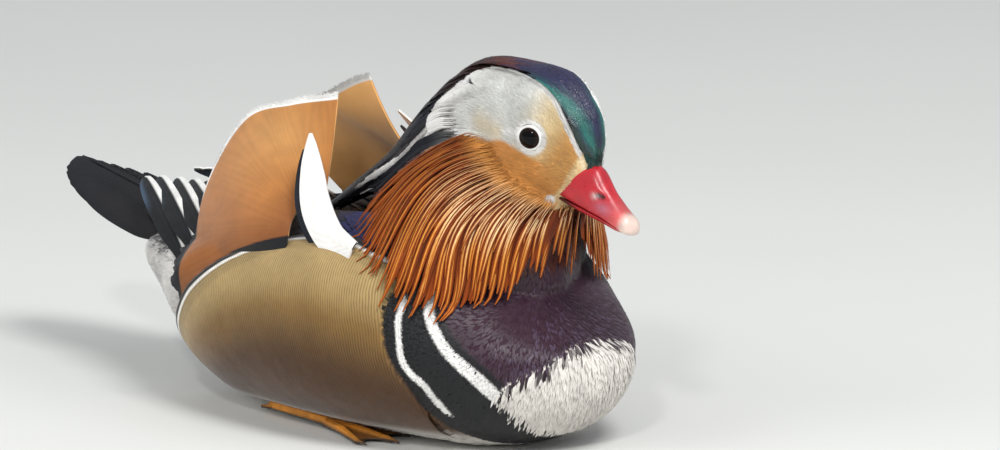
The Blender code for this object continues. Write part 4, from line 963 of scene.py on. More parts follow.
def make_skin():
    parts = [(torso_rings(), (RUMP_X + COAT_DEPTH, 0, TORSO_WAIST(RUMP_X)), (BREAST_X - COAT_DEPTH, 0, BREAST_APEX_Z)),
             (head_rings(), head_place(HEAD_BACK + 1, 0, HEAD_WAIST(HEAD_BACK)),
              head_place(HEAD_FRONT - 1, 0, HEAD_WAIST(HEAD_FRONT))),
             (neck_rings(), (98, 0, 142), (94, 0, 55)),
             (crest_rings(), CREST_LINE(0), CREST_LINE(0.73))]
    skin = joined("skin", parts, skin_material("skin"))
    remesh = skin.modifiers.new("remesh", "REMESH")
    remesh.mode = "VOXEL"
    remesh.voxel_size = SKIN_VOXEL * MM
    smoothing = skin.modifiers.new("smooth", "SMOOTH")
    smoothing.factor = 0.5
    smoothing.iterations = 4
    evaluated(skin)
    skin.data.shade_smooth()
    return skin


skin = make_skin()
skin_points, skin_normals = mesh_arrays(skin)
skin_faces = [tuple(f.vertices) for f in skin.data.polygons]
tree = BVHTree.FromPolygons([Vector(p) for p in skin_points], skin_faces)
SEEN_FROM = unit(np.array([0.69, -0.69, 0.2]))


def settled(line, away=40.0):
    """A line of points, moved along the way that the head is seen from onto the skin, and evened out."""
    found = []
    for p in line:
        hit = tree.ray_cast(Vector(p + SEEN_FROM * away), Vector(-SEEN_FROM))[0]
        found.append(p if hit is None or (Vector(p) - hit).length > 14 else np.array(hit))
    found = np.array(found)
    for _ in range(3):
        found[1:-1] = (found[:-2] + 2 * found[1:-1] + found[2:]) / 4
    return found


BROW = settled(BROW)
BILL_BASE = settled(BILL_BASE)
add_tint(skin.data, body_colour(skin_points))


def on_skin(points):
    """(nearest points of the skin, its normals there)"""
    found = [tree.find_nearest(Vector(p)) for p in points]
    return np.array([f[0] for f in found]), np.array([f[1] for f in found])


def scatter(spacing, chosen):
    """Points spread over the skin about spacing apart, where chosen(points) is true."""
    corners = skin_points[np.array([f[:3] for f in skin_faces])]
    fourth = skin_points[np.array([f[-1] for f in skin_faces])]
    area = np.linalg.norm(np.cross(corners[:, 1] - corners[:, 0], fourth - corners[:, 0]), axis=1)
    count = int(area.sum() / spacing ** 2 * 6)
    pick = draw.choice(len(area), count, p=area / area.sum())
    u, v = draw.random((2, count, 1))
    p = (corners[pick, 0] * (1 - u) * (1 - v) + corners[pick, 1] * u * (1 - v) + corners[pick, 2] * u * v
         + fourth[pick] * (1 - u) * v)
    p = p[chosen(p)]
    cells = np.floor(p / spacing).astype(int)
    kept = np.unique(cells, axis=0, return_index=True)[1]
    return p[draw.permutation(kept)]


def lie(roots, flow, length, rows, lift, sunk=0.5, turn=0.12):
    """(paths, normals) of tufts that lie over the skin along flow and rise to lift at their tips."""
    count = len(roots)
    path, ups = np.empty((rows, count, 3)), np.empty((rows, count, 3))
    here = roots
    sway = draw.normal(0, turn, (count, 1))
    for r in range(rows):
        t = r / (rows - 1)
        near, up = on_skin(here)
        path[r] = near + up * (lift * t - sunk * (1 - t))[:, None]
        ups[r] = up
        way = flow(near)
        way = unit(way - up * dot(way, up)[:, None])
        way = unit(way + np.cross(up, way) * sway)
        here = near + way * (length / (rows - 1))[:, None]
    return path, ups


def tufts(name, roots, flow, length, width, lift, thick, colour, material, rows=5, section=TUFT, tip=0.25,
          turn=0.12, sunk=0.5):
    """Tufts over the skin as one piece. colour(points) gives their colours from the points that they cover."""
    count = len(roots)
    path, ups = lie(roots, flow, length, rows, lift, sunk, turn)
    path[..., 2] = np.maximum(path[..., 2], 0.6)
    t = np.linspace(0, 1, rows)[:, None]
    spread = width * (0.6 + 0.4 * step(0, 0.3, t)) * (tip + (1 - tip) * round_end(t, 0.4, 1.0, 2.0))
    tint = colour(path, t)
    made = blades(name, path, ups, spread, thick * (1 - 0.6 * t) * np.ones((rows, count)), tint[:, None],
                  skin_uv(roots), material, section)
    return made


def torso_flow(p):
    front = step(95, 138, p[..., 0])[..., None]
    return np.array([-1, 0, -0.12]) * (1 - front) + np.array([-0.3, 0, -1]) * front


BILL_ROOT_PLACE = head_place(26, 0, -12)


def head_flow(p):
    return unit(p - BILL_ROOT_PLACE) + np.array([-0.35, 0, 0])


def head_flow_up(p):
    """Up from the bill and in towards the crest's ridge."""
    return xyz(-0.5 + 0 * p[..., 0], -0.35 * np.sign(p[..., 1]), 1 + 0 * p[..., 0])


pieces = {"skin": skin}


def keep(piece):
    pieces[piece.name] = piece
    return piece


def torso_depth(p):
    q = p * np.array([1, 1, 1])
    q[..., 1] = -np.abs(q[..., 1])
    return -across(q, FLANK_EDGE, FLANK_ABOVE)


def front_side(p):
    q = p * np.array([1, 1, 1])
    q[..., 1] = -np.abs(q[..., 1])
    return across(q, DARK_REAR, np.array([1, 0, 0.3]))


def bar_side(p):
    q = p * np.array([1, 1, 1])
    q[..., 1] = -np.abs(q[..., 1])
    return across(q, BAR_FRONT, np.array([1, 0, 0.7]))


def on_flank(p):
    return (p[:, 2] < 92) & (p[:, 0] > -70) & (torso_depth(p) > 12) & (front_side(p) < 1) & (p[:, 2] > 2)


def on_bars(p):
    return (p[:, 2] < 86) & (p[:, 0] > 50) & (front_side(p) > -1) & (bar_side(p) < 9)


def on_breast(p):
    low = BELLY_TOP(np.abs(p[:, 1])) - 2 > p[:, 2]
    return (p[:, 2] < 92) & (p[:, 0] > 50) & (bar_side(p) > 8.5) & ~low


def on_white(p):
    low = BELLY_TOP(np.abs(p[:, 1])) + 1 > p[:, 2]
    return (p[:, 0] > 50) & (bar_side(p) > 3.5) & low


def on_rear(p):
    return (p[:, 0] < -46) & (p[:, 2] < 82) & (torso_depth(p) < 0.5)


def on_belly(p):
    return (p[:, 2] < 6) & (p[:, 0] > -60) & (p[:, 0] < 110)


def varied(share):
    """Colours of the body at a tuft's points, a little different for each tuft."""
    def colour(path, t):
        shape = path.shape
        tone = 1 + draw.normal(0, share, (1, shape[1], 1))
        return body_colour(path.reshape(-1, 3)).reshape(shape) * tone
    return colour


def ragged(share, reach):
    """As varied, but each tuft takes the colour of its root, so that an edge between colours is ragged."""
    def colour(path, t):
        count = path.shape[1]
        moved = path[0] + draw.normal(0, reach, (count, 3))
        tone = 1 + draw.normal(0, share, (count, 1))
        return np.broadcast_to(body_colour(moved) * tone, path.shape)
    return colour


def breast_colour(path, t):
    base = ragged(0.05, 0.8)(path, t).copy()
    above = path[0, :, 2] - BELLY_TOP(np.abs(path[0, :, 1]))
    # Painted sheen: some tufts above the white belly turn blue-grey towards their tips
    streak = draw.random(path.shape[1]) < 0.02 + 0.4 * np.exp(-((above - 7) / 6) ** 2)
    purple = np.linalg.norm(base[0] - BREAST, axis=-1) < 0.06
    shine = step(0.1, 0.6, t)[..., None] * (streak & purple)[None, :, None] * 0.55
    return base * (1 - shine) + BREAST_PAINTED_SHEEN * shine


plain = plumage("feather_soft")
dark_vane = plumage("feather_dark", barb_shade=0.07, rough=0.46, gloss=0.45, sheen=0.05, mottle=0.14, relief=0.2)
sleek = plumage("feather_sleek", barb_shade=0.06, rough=0.4, gloss=0.5, sheen=0.15, mottle=0.08, relief=0.15)
glossy = plumage("feather_gloss", rough=0.42, gloss=0.6, sheen=0.15, mottle=0.2)
flank_material = vermiculated("feather_flank")


def made_tufts(name, spacing, chosen, flow, length, width, lift, thick, colour, material, **more):
    roots = scatter(spacing, chosen)
    count = len(roots)
    vary = lambda size: size * draw.uniform(0.8, 1.2, count)
    return keep(tufts(name, roots, flow, vary(length), vary(width), vary(lift), thick, colour, material, **more))


made_tufts("coat_flank", 2.6, on_flank, torso_flow, 11.0, 6.0, 0.75, 0.08, varied(0.03), flank_material)
made_tufts("coat_bars", 1.1, on_bars, torso_flow, 4.0, 1.5, 0.5, 0.14, varied(0.03), dark_vane, rows=6, tip=0.15)
made_tufts("coat_breast", 1.25, on_breast, torso_flow, 8.0, 1.1, 0.3, 0.08, breast_colour, sleek, tip=0.04)
made_tufts("coat_white", 1.5, on_white, torso_flow, 8.0, 1.5, 1.1, 0.2, ragged(0.05, 0.8), plain, tip=0.04)
made_tufts("coat_rear", 2.0, on_rear, torso_flow, 11.0, 3.0, 0.7, 0.16, ragged(0.04, 1.2), plain, tip=0.1)
made_tufts("coat_belly", 3.2, on_belly, torso_flow, 10.0, 4.4, 1.0, 0.3, varied(0.05), plain)


def flank_rim(name, flip):
    """The flank's smooth close feathers, with the black and white edges of the uppermost ones."""
    x = np.linspace(-58.5, 100, 330)[:, None]
    share = np.concatenate([np.linspace(0, 0.35, 46), np.linspace(0.37, 1, 40)])[None, :]
    down = -0.7 + (FLANK_LINE(x) - 3.3) * share
    angle = side_angle(x + 0 * down, FLANK_LINE(x) - down)
    past = front_side(torso_point(x + 0 * down, angle).reshape(-1, 3)).reshape(angle.shape)
    low = step(3, 10, FLANK_LINE(x) - down)
    lift = 0.45 - 0.8 * (1 - step(-0.7, 0.3, down)) - 1.6 * np.maximum(step(-1.5, 0.5, past), 1 - low)
    grid = torso_point(x + 0 * down, angle, lift)
    ups = unit(xyz(0 * angle, -np.cos(angle), np.sin(angle)))
    tint = torso_colour(grid)
    if flip:
        grid, ups = mirror(grid), mirror(ups)
    return plates(name, grid[None], ups[None], 0.45, tint[None], flank_material)


keep(flank_rim("coat_rim_right", False))
keep(flank_rim("coat_rim_left", True))


def on_forehead(p):
    along, side, up = head_coordinates(p)
    q = p * np.array([1, 1, 1])
    q[..., 1] = -np.abs(q[..., 1])
    return is_head(p) & (across(q, BROW, np.array([0, 1, 1])) > 0.7) & (along > 12) & (along < 29) & (up > -8)


def dark_green(path, t):
    return np.broadcast_to(blend(GREEN, TEAL, 0.4) * draw.normal(1, 0.2, (path.shape[1], 1)), path.shape)


made_tufts("coat_forehead", 0.7, on_forehead, head_flow_up, 6.0, 0.9, 1.3, 0.14, dark_green, glossy, rows=4,
           tip=0.1, sunk=0.25, turn=0.05)


def on_face(p):
    along, side, up = head_coordinates(p)
    q = p * np.array([1, 1, 1])
    q[..., 1] = -np.abs(q[..., 1])
    eye = np.linalg.norm(q - EYE_SKIN, axis=-1)
    brow = across(q, BROW, np.array([0, 1, 1]))
    return is_head(p) & (brow < 1.5) & (eye > 5.6) & (along < 24)


made_tufts("coat_face", 1.0, on_face, head_flow, 3.6, 0.9, 0.4, 0.13, varied(0.06), plain, rows=4,
           tip=0.1, sunk=0.25, turn=0.08)


def on_nape(p):
    along, side, up = head_coordinates(p)
    q = p * np.array([1, 1, 1])
    q[..., 1] = -np.abs(q[..., 1])
    brow = across(q, BROW, np.array([0, 1, 1]))
    return is_head(p) & (brow < -0.8) & (along < -30) & (along > -52) & (up > WHITE_LOW(along) + 1)


made_tufts("coat_nape", 1.0, on_nape, head_flow, 7.0, 1.0, 0.9, 0.1, varied(0.02), plain, rows=5, tip=0.1,
           sunk=0.25, turn=0.03)


def brow_strands(name, flip, raised, count=420, rows=6):
    """The white line over the eye: fine feathers that lie along the crest's edge."""
    t = np.linspace(0, 1, rows)[:, None]
    at = np.clip(draw.uniform(0.1, 1.0, count) - 0.07 * t, 0, 1)
    line = curve(BROW[::6])
    down = draw.uniform(-0.2, 0.9, count)
    near, up = on_skin((line(at) - np.array([0, 0.25, 0.97]) * down[:, None]).reshape(-1, 3))
    near, up = near.reshape(rows, count, 3), up.reshape(rows, count, 3)
    path = near + up * (draw.uniform(*raised, count) * step(0, 0.5, t) - 0.3 * (1 - t))[..., None]
    if flip:
        path, up = mirror(path), mirror(up)
    width = draw.uniform(0.6, 0.95, count) * round_end(t, 0.4, 1.02, 1.8)
    tint = np.broadcast_to(WHITE * draw.normal(1, 0.03, count)[None, None, :, None], (rows, 1, count, 3))
    return blades(name, path, up, width, 0.2 + 0 * width, tint, skin_uv(path[0]), plain)


keep(brow_strands("coat_brow_right", False, (0.5, 0.9)))
keep(brow_strands("coat_brow_left", True, (1.2, 2.2)))


def on_back(p):
    return (p[:, 2] > 70) & (np.abs(p[:, 1]) < 18) & (p[:, 0] > -70) & (p[:, 0] < 70)


made_tufts("coat_back", 2.6, on_back, torso_flow, 10.0, 4.0, 0.8, 0.3, varied(0.12), glossy)

# Ruff

SHAFTED = np.array([(-1, 0), (-0.66, 0.45), (-0.36, 0.85), (-0.22, 1), (0.22, 1), (0.36, 0.85), (0.66, 0.45),
                    (1, 0), (0, 0.1)], float)
# Layers of whiskers: count, where they start, where they end, lift, width, how pale their shafts are
HACKLES = [(100, (0.0, 0.06), (0.72, 0.98), -0.4, 4.4, 0.0), (32, (0.0, 0.08), (0.95, 1.08), 0.3, 3.0, 1.0),
           (32, (-0.02, 0.06), (0.76, 0.98), 0.9, 2.7, 1.0), (34, (-0.03, 0.05), (0.5, 0.8), 1.3, 1.9, 0.9),
           (60, (-0.05, 0.03), (0.25, 0.5), 1.4, 1.2, 0.8), (130, (-0.06, 0.0), (0.1, 0.28), 1.1, 0.85, 0.45)]
RUFF_START = 0.09
RUFF_SWEEP = 0.1
THROAT_FROM = 0.92


def hackles(name, flip, rows=15):
    """One side's ruff: long pointed feathers, each with a pale shaft."""
    paths, ups, widths, tints = [], [], [], []
    t = np.linspace(0, 1, rows)[:, None]
    for count, starts, ends, lift, width, light in HACKLES:
        a = (np.arange(count) + 0.5 + draw.normal(0, 0.2, count)) / count
        a = np.clip(RUFF_START + (1 - RUFF_START) * a, 0, 1)
        first, last = draw.uniform(*starts, count), draw.uniform(*ends, count)
        first = first + 0.1 * (1 - step(RUFF_START, 0.25, a))
        r = first + (last - first) * t
        sweep = RUFF_SWEEP * step(0.05, 0.35, a) * (1 - step(0.7, 1.0, a)) * 6.75 * np.clip(r, 0, 1) * (1 - np.clip(r, 0, 1)) ** 2
        place = np.clip(a - sweep + draw.normal(0, 0.013, count) * t ** 2, 0, 1)
        out = ruff_out(place, r)
        raised = lift + draw.uniform(-0.3, 0.5, count)
        p = ruff_line(place, r) + out * (raised - (raised + 1.6) * (1 - step(0, 0.22, t)))[..., None]
        to_throat = np.where((a > THROAT_FROM) & (light > 0), draw.uniform(0, 1, count), 1.0)
        p = p * np.stack([np.ones(count), to_throat, np.ones(count)], -1)
        paths.append(outside(p, 1.0 + lift))
        ups.append(out)
        size = width * draw.uniform(0.8, 1.2, count)
        widths.append(size * (0.1 + 0.9 * step(0, 0.55, t)) * round_end(t, 0.5, 1.02, 1.6))
        front = step(0.12, 0.6, a)
        vane = blend(RUFF_DARK, RUFF_ORANGE, np.clip(0.1 + (0.12 + 0.2 * front) * light + draw.normal(0, 0.1, count)
                                                     + 0 * t, 0, 1))
        vane = blend(vane, RUFF_ORANGE, 0.6 * step(0.55, 1.0, t) + 0 * vane[..., 0])
        vane = blend(vane, CHEEK, 0.9 * (1 - step(0.0, 0.15, r)))
        golden = np.clip(draw.uniform(0.0, 0.4, count) + 0.9 * (1 - front) + 0.9 * step(0.25, 0.7, r), 0, 1)
        shown = light * (0.3 + 0.7 * front) * draw.uniform(0.7, 1.0, count)
        shaft = blend(blend(RUFF_PALE, RUFF_GOLD, golden), vane, 1 - shown + 0 * r)
        shaft = blend(shaft, RUFF_ORANGE, 0.5 * step(0.75, 1.0, t) + 0 * shaft[..., 0])
        shaft = blend(shaft, CHEEK, 0.7 * (1 - step(-0.02, 0.08, r)))
        edge = vane * 0.4
        tints.append(np.stack([edge, vane, vane, shaft, shaft, vane, vane, edge, vane], 1))
    path, up = np.concatenate(paths, 1), np.concatenate(ups, 1)
    path, up = (mirror(path), mirror(up)) if flip else (path, up)
    width = np.concatenate(widths, 1)
    return blades(name, path, up, width, 0.1 + 0.12 * width, np.concatenate(tints, 2),
                  skin_uv(path[0]), plumage_ruff, SHAFTED, sharp=60)


plumage_ruff = plumage("feather_ruff", (26.0, 120.0), 0.14, rough=0.55, gloss=0.22, sheen=0.0, mottle=0.1)
keep(hackles("ruff_right", False))
keep(hackles("ruff_left", True))

# Crest


def crest_colour(t, angle):
    """The crest's colours: angle is in radians, a quarter turn on the ridge."""
    c = np.abs(angle / (np.pi / 2) - 1)
    band = smooth([(0, 0.42), (0.12, 0.42), (0.25, 0.5), (0.36, 0.8)])(t)
    colour = blend(NAVY, TEAL * 1.2, np.exp(-((c - band) / 0.22) ** 2))
    colour = blend(colour, GREEN, step(0.15, 0.4, c - band) * (1 - step(0.2, 0.3, t)))
    colour = blend(colour, GREEN, 0.7 * (1 - step(0.03, 0.12, t)))
    colour = blend(colour, MAROON, step(0.37, 0.45, t - 0.05 * (1 - c)))
    colour = blend(colour, DARK_MAROON, step(0.46, 0.64, t + 0.06 * (1 - c)))
    colour = blend(colour, BLUE_BLACK, step(0.66, 0.82, t))
    colour = blend(colour, BLUE_BLACK, step(1.1, 1.2, c) * step(0.45, 0.5, t))
    until = 1.75 - 0.35 * step(0.65, 0.95, t)
    stripe = step(1.16, 1.22, c) * (1 - step(until, until + 0.05, c)) * step(0.56, 0.6, t)
    return blend(colour, WHITE, stripe * (1 - step(0.95, 0.99, t)))


def crest_strands(name, count, rows=7):
    first = draw.uniform(-0.01, 0.93, count)
    half = np.pi / 2 - 0.06 + 1.3 * step(0.64, 0.78, first)
    spread = np.pi / 2 + half * draw.uniform(-1, 1, count)
    reach = draw.uniform(0.1, 0.2, count)
    t = np.linspace(0, 1, rows)[:, None]
    at = first + reach * t
    angle = np.pi / 2 + (spread - np.pi / 2) * (1 - 0.25 * step(0.75, 1, at))
    raised = draw.uniform(0.0, 1.0, count)
    front = 1 - step(0.3, 0.5, at)
    lift = -1.6 + (1.6 + raised * (1 - 0.6 * front)) * step(0, 0.5, t) - 0.8 * front
    path = crest_point(at, angle, lift)
    q = path * np.array([1, 1, 1])
    q[..., 1] = -np.abs(q[..., 1])
    over = np.where(q[..., 0] > 58, across(q, BROW, np.array([0, 1, 1])), 9.0).min(axis=0)
    kept = (over > 0.7) | (first > 0.72)
    path, ups = path[:, kept], crest_normal(np.clip(at, 0, 1), angle)[:, kept]
    first, reach, spread, count = first[kept], reach[kept], spread[kept], int(kept.sum())
    width = draw.uniform(1.6, 2.6, count) * (0.6 + 0.4 * step(0, 0.4, t)) * round_end(t, 0.4, 1.02, 1.8)
    root = crest_colour(first + 0.7 * reach + draw.normal(0, 0.008, count), spread)
    far_rim = step(0.4, 0.47, spread / (np.pi / 2) - 1) * (1 - step(0.38, 0.44, first + 0.7 * reach))
    root = blend(root, WHITE, far_rim)
    tone = draw.normal(1, 0.15, count)[:, None]
    tint = np.broadcast_to((root * tone)[None, None], (rows, 1, count, 3))
    return blades(name, path, ups, width, 0.14 + 0.12 * width, tint, skin_uv(path[0]), crest_material, TUFT)


def side_strands(name, line, wide, narrow, tone, count, flip, rows=9):
    """Long narrow feathers that run from the cheek along the crest's lower edge. line is their middle."""
    t = np.linspace(0, 1, rows)[:, None]
    first = draw.uniform(0, 0.55, count)
    at = first + draw.uniform(0.25, 0.45, count) * t
    lifted = draw.uniform(0.0, 0.8, count) * step(0.1, 0.4, at) - 1.6 * (1 - step(0, 0.25, t))
    along = unit(line(np.clip(at + 0.02, 0, 1)) - line(np.clip(at - 0.02, 0, 1)))
    out = unit(np.cross(np.cross(along, SIDE_OUT), along))
    aside = np.cross(along, out)
    reach = (wide + (narrow - wide) * step(0, 0.8, at)) * draw.uniform(-1, 1, count)
    path = line(np.clip(at, 0, 1)) + aside * reach[..., None]
    near, up = on_skin(path.reshape(-1, 3))
    under = dot(path - near.reshape(path.shape), up.reshape(path.shape))
    path = path + out * (lifted + np.clip(0.3 - under, 0, 3) * step(0, 0.3, t))[..., None]
    out = np.broadcast_to(out, path.shape)
    if flip:
        path, out = mirror(path), mirror(out)
    width = draw.uniform(1.3, 2.2, count) * (0.45 + 0.55 * step(0.1, 0.4, at)) * (0.3 + 0.7 * step(0, 0.5, t))
    width = width * round_end(t, 0.5, 1.02, 1.7)
    shade = blend(tone * 0.8 + FACE_GREY * 0.2, tone, step(0.0, 0.3, at))
    tint = (shade * draw.normal(1, 0.03, count)[:, None])[:, None]
    return blades(name, path, out, width, 0.3 + 0 * width, tint, skin_uv(path[0]), crest_white)


SIDE_OUT = unit(np.array([-0.1, -1.0, 0.1]))
STRIPE_LINE = curve([(80, -17.3, 138.5), (70, -16.6, 136.3), (62.5, -15.3, 131.8)]
                    + [crest_point(np.array(t), np.radians(np.array(a)), 0.8)
                       for t, a in ((0.72, -42.0), (0.8, -41.0), (0.88, -38.0), (0.96, -30.0))])
SHADE_LINE = curve([(84, -19, 130.5), (70, -17, 127.5), (56, -15.5, 121), (45, -15, 112.5), (33, -14, 103),
                    (20, -12, 98)])
crest_material = plumage("feather_crest", (30.0, 90.0), 0.2, rough=0.3, gloss=0.7, sheen=0.05, mottle=0.2)
crest_white = plumage("feather_white", (30.0, 90.0), 0.06, rough=0.55, gloss=0.35, sheen=0.1, mottle=0.05, relief=0.06)
keep(crest_strands("crest_strands", 3600))
for side, flip in (("right", False), ("left", True)):
    keep(side_strands("crest_stripe_" + side, STRIPE_LINE, 4.4, 1.3, WHITE, 240, flip))
    keep(side_strands("crest_shade_" + side, SHADE_LINE, 2.6, 2.0, BLUE_BLACK, 170, flip))

# Sails

SAIL_THICK = 0.9
WHITE_EDGE = smooth([(0, 3.0), (0.2, 3.3), (0.4, 3.0), (0.55, 1.6), (0.64, 0.6), (0.68, 0), (1, 0)])
DARK_EDGE = smooth([(0, 0), (0.7, 0), (0.78, 1.6), (1, 2.6)])


def sail(name, rise, flip):
    a = np.linspace(0, 1, 120)[None, :]
    r = np.concatenate([np.linspace(0.2, 0.93, 34), np.linspace(0.94, 1, 14)])[:, None]
    grid, ups = sail_point(a, r, rise), sail_out(a, r, rise)
    length = np.linalg.norm(sail_point(a, 1.0, rise) - sail_point(a, 0.0, rise), axis=-1)
    gap = (1 - r) * length
    # Painted light: a paler patch over the upper middle of the face
    light = np.exp(-((a - 0.3) / 0.25) ** 2 - ((r - 0.75) / 0.3) ** 2)
    face = blend(SAIL_ORANGE, SAIL_PALE, 0.5 * light)
    face = blend(face, SAIL_CHESTNUT, 0.8 * step(0.5, 1.0, a) + 0 * r)
    # Painted shade: the face darkens towards its base, beside the scapulars
    face = blend(face, SAIL_CHESTNUT, 0.6 * (1 - step(0.2, 0.5, r)))
    streak = 0.5 + 0.5 * np.sin(a * 190 + 5 * np.sin(a * 23) + 2 * np.sin(r * 9 + a * 40))
    face = face * (0.94 + 0.1 * streak)[..., None]
    # Painted light: the inner face is made paler and 1.9 times brighter than the outer face, standing in for light that
    # shines through the sail
    inner = blend(face, SAIL_PALE, 0.75) * 1.9
    above = grid[..., 2] - FLANK_LINE(grid[..., 0])
    sides = []
    for colour in (face, inner):
        colour = blend(colour, WHITE, 1 - step(-0.25, 0.25, gap - WHITE_EDGE(a)))
        colour = blend(colour, BLACK, 1 - step(0.9, 1.3, above))
        sides.append(blend(colour, BLACK, 1 - step(-0.25, 0.25, gap - DARK_EDGE(a))))
    thick = SAIL_THICK * (0.35 + 0.65 * step(0, 6, gap))
    if flip:
        grid, ups = mirror(grid), mirror(ups)
    return plates(name, grid[None], ups[None], thick[None], np.stack(sides)[None], sail_material)


def fringe(name, rise, flip, count=900, rows=4):
    """Fine white barbs that stand out of a sail's upper margin."""
    a = np.sort(draw.uniform(0.0, 0.56, count))
    r = 0.975 + 0.032 * draw.uniform(0.5, 1.3, count) * np.linspace(0, 1, rows)[:, None]
    lean = a + draw.normal(0, 0.004, count) * np.linspace(0, 1, rows)[:, None]
    path, ups = sail_point(np.clip(lean, 0, 1), r, rise), sail_out(a + 0 * r, np.minimum(r, 1), rise)
    path = path + ups * draw.uniform(-0.3, 0.3, count)[None, :, None]
    if flip:
        path, ups = mirror(path), mirror(ups)
    width = 0.5 * round_end(np.linspace(0, 1, rows)[:, None], 0.2, 1.05) * np.ones(count)
    uv = np.stack([a, np.full(count, 0.5)], -1)
    return blades(name, path, ups, width, 0.1 + 0 * width, np.broadcast_to(WHITE, (rows, 1, count, 3)), uv, plain)


sail_material = plumage("feather_sail", (0.0, 0.0), 0.1, rough=0.55, gloss=0.35, sheen=0.35, mottle=0.08)
for side, rise, flip in (("right", 0.0, False), ("left", SAIL_LEFT_RISE, True)):
    keep(sail("sail_" + side + "_vane", rise, flip))
    keep(fringe("sail_" + side + "_fringe", rise, flip))

# Wings


def wing_under(name, flip):
    share = np.linspace(0, 1, 90)[:, None]
    x = WING_REAR_X + 1 + (WING_FRONT_X - WING_REAR_X - 4) * share
    low, high = side_angle(x, FLANK_LINE(x) - 3.5), back_angle(x, 6.5)
    angle = low + (high - low) * np.linspace(0, 1, 60)[None, :]
    x = x + 0 * angle
    ends = np.sqrt(np.maximum(0, 1 - np.abs(2 * share - 1) ** 8))
    lift = wing_lift(x, torso_point(x, angle)) * ends - 3.5 * (1 - ends) - 1.8
    grid = torso_point(x, angle, lift)
    ups = unit(xyz(0 * x, -np.cos(angle), np.sin(angle)))
    tint = np.broadcast_to(BLUE_BLACK, grid.shape)
    if flip:
        grid, ups = mirror(grid), mirror(ups)
    return plates(name, grid[None], ups[None], 1.6, tint[None], glossy)


def wing_coverts(name, flip, count=1000, rows=6):
    x = WING_REAR_X + 8 + (WING_FRONT_X - WING_REAR_X - 12) * draw.uniform(0, 1, count)
    low, high = side_angle(x, FLANK_LINE(x) - 1.0), back_angle(x, 5.0)
    angle = low + (high - low) * draw.uniform(0, 1, count)
    t = np.linspace(0, 1, rows)[:, None]
    length = draw.uniform(10, 15, count)
    at = np.maximum(x - length * t, WING_REAR_X - 4)
    lift = wing_lift(at, torso_point(at, angle + 0 * at)) - 1.7 + 2.2 * t
    path = torso_point(at, angle + 0 * at, lift)
    ups = unit(xyz(0 * at - 0.1, -np.cos(angle), np.sin(angle)))
    width = draw.uniform(4.5, 6.5, count) * feather_width(t, 0.25)
    tone = draw.normal(1, 0.15, count)[:, None]
    base = blend(blend(BLUE_BLACK, TAIL_BROWN, 0.4 * draw.random(count)), SHOULDER_BLUE, step(30, 42, x)) * tone
    tint = np.stack([base * 0.6, base, base * 0.6], 0)[None]
    if flip:
        path, ups = mirror(path), mirror(ups)
    return blades(name, path, ups, width, 0.25 + 0 * width, tint, np.stack([x / 200 + 0.5, angle / 4 + 0.5], -1),
                  glossy)


PRIMARY_TIPS = [(-116, -15, 84.5), (-108, -13.5, 85.5), (-98, -12.5, 86), (-89, -12, 86.5), (-80, -12, 87)]
PRIMARY_TILT = math.radians(14)
PRIMARY_ROOTS = [(-60, -43, 60), (-54, -42, 65), (-48, -40, 69), (-43, -37, 73), (-38, -34, 77)]


def bend(start, middle, end, t):
    t = t[..., None]
    return start * (1 - t) ** 2 + middle * 2 * t * (1 - t) + end * t * t


def tilted(path, ups, tilt):
    """The normals, turned about the paths by tilt."""
    along = unit(np.gradient(path, axis=1))
    side = unit(np.cross(along, ups))
    up = np.cross(side, along)
    return up * math.cos(tilt) + side * math.sin(tilt)


def primaries(name, flip, rows=26, wide=11):
    root, tip = np.array(PRIMARY_ROOTS, float)[:, None], np.array(PRIMARY_TIPS, float)[:, None]
    t = np.linspace(0, 1, rows)[None, :]
    path = bend(root, (root + tip) / 2 + np.array([0, -3, 5]), tip, t)
    ups = tilted(path, np.broadcast_to([-0.1, -0.85, 0.5], path.shape), PRIMARY_TILT)
    grid, up = quills(path, ups, 10 * feather_width(t, 0.25) * np.ones((5, 1)), wide, 0.06)
    s = np.linspace(-1, 1, wide)[None, None, :]
    colour = blend(BLACK, WING_BLUE, 0.7 * step(0.2, 0.9, -s) * step(0.55, 0.8, t)[..., None])
    colour = blend(colour, BLACK * 2, np.exp(-(s / 0.06) ** 2) + 0 * t[..., None])
    colour = blend(colour, WHITE, step(0.45, 0.6, s) + 0 * t[..., None])
    grid, up = (mirror(grid), mirror(up)) if flip else (grid, up)
    return plates(name, grid, up, 0.7, np.broadcast_to(colour, grid.shape), dark_vane)


for side, flip in (("right", False), ("left", True)):
    keep(wing_under("wing_" + side + "_under", flip))
    keep(wing_coverts("wing_" + side + "_coverts", flip))
    keep(primaries("wing_" + side + "_primaries", flip))

# Scapulars

SCAPULAR_ROOT = [(58, -50, 79), (42, -53, 86)]
SCAPULAR_RIGHT = curve(outside(np.array(SCAPULAR_ROOT + [(29, -49, 97), (17, -40, 109), (8, -32, 123.5)], float), 2.2))
SCAPULAR_LEFT = curve(outside(np.array(SCAPULAR_ROOT + [(26, -49, 97), (9, -40, 109), (-4, -32, 123.5)], float), 2.2))
SCAPULAR_WIDTH = 14.0
SCAPULAR_TAPER = smooth([(0, 0.6), (0.2, 0.95), (0.45, 1), (0.65, 0.9), (0.8, 0.68), (0.92, 0.38), (1, 0.1)])
SCAPULAR_OUT = unit(np.array([0.35, -0.85, 0.3]))
SCAPULAR_APART = 1.5


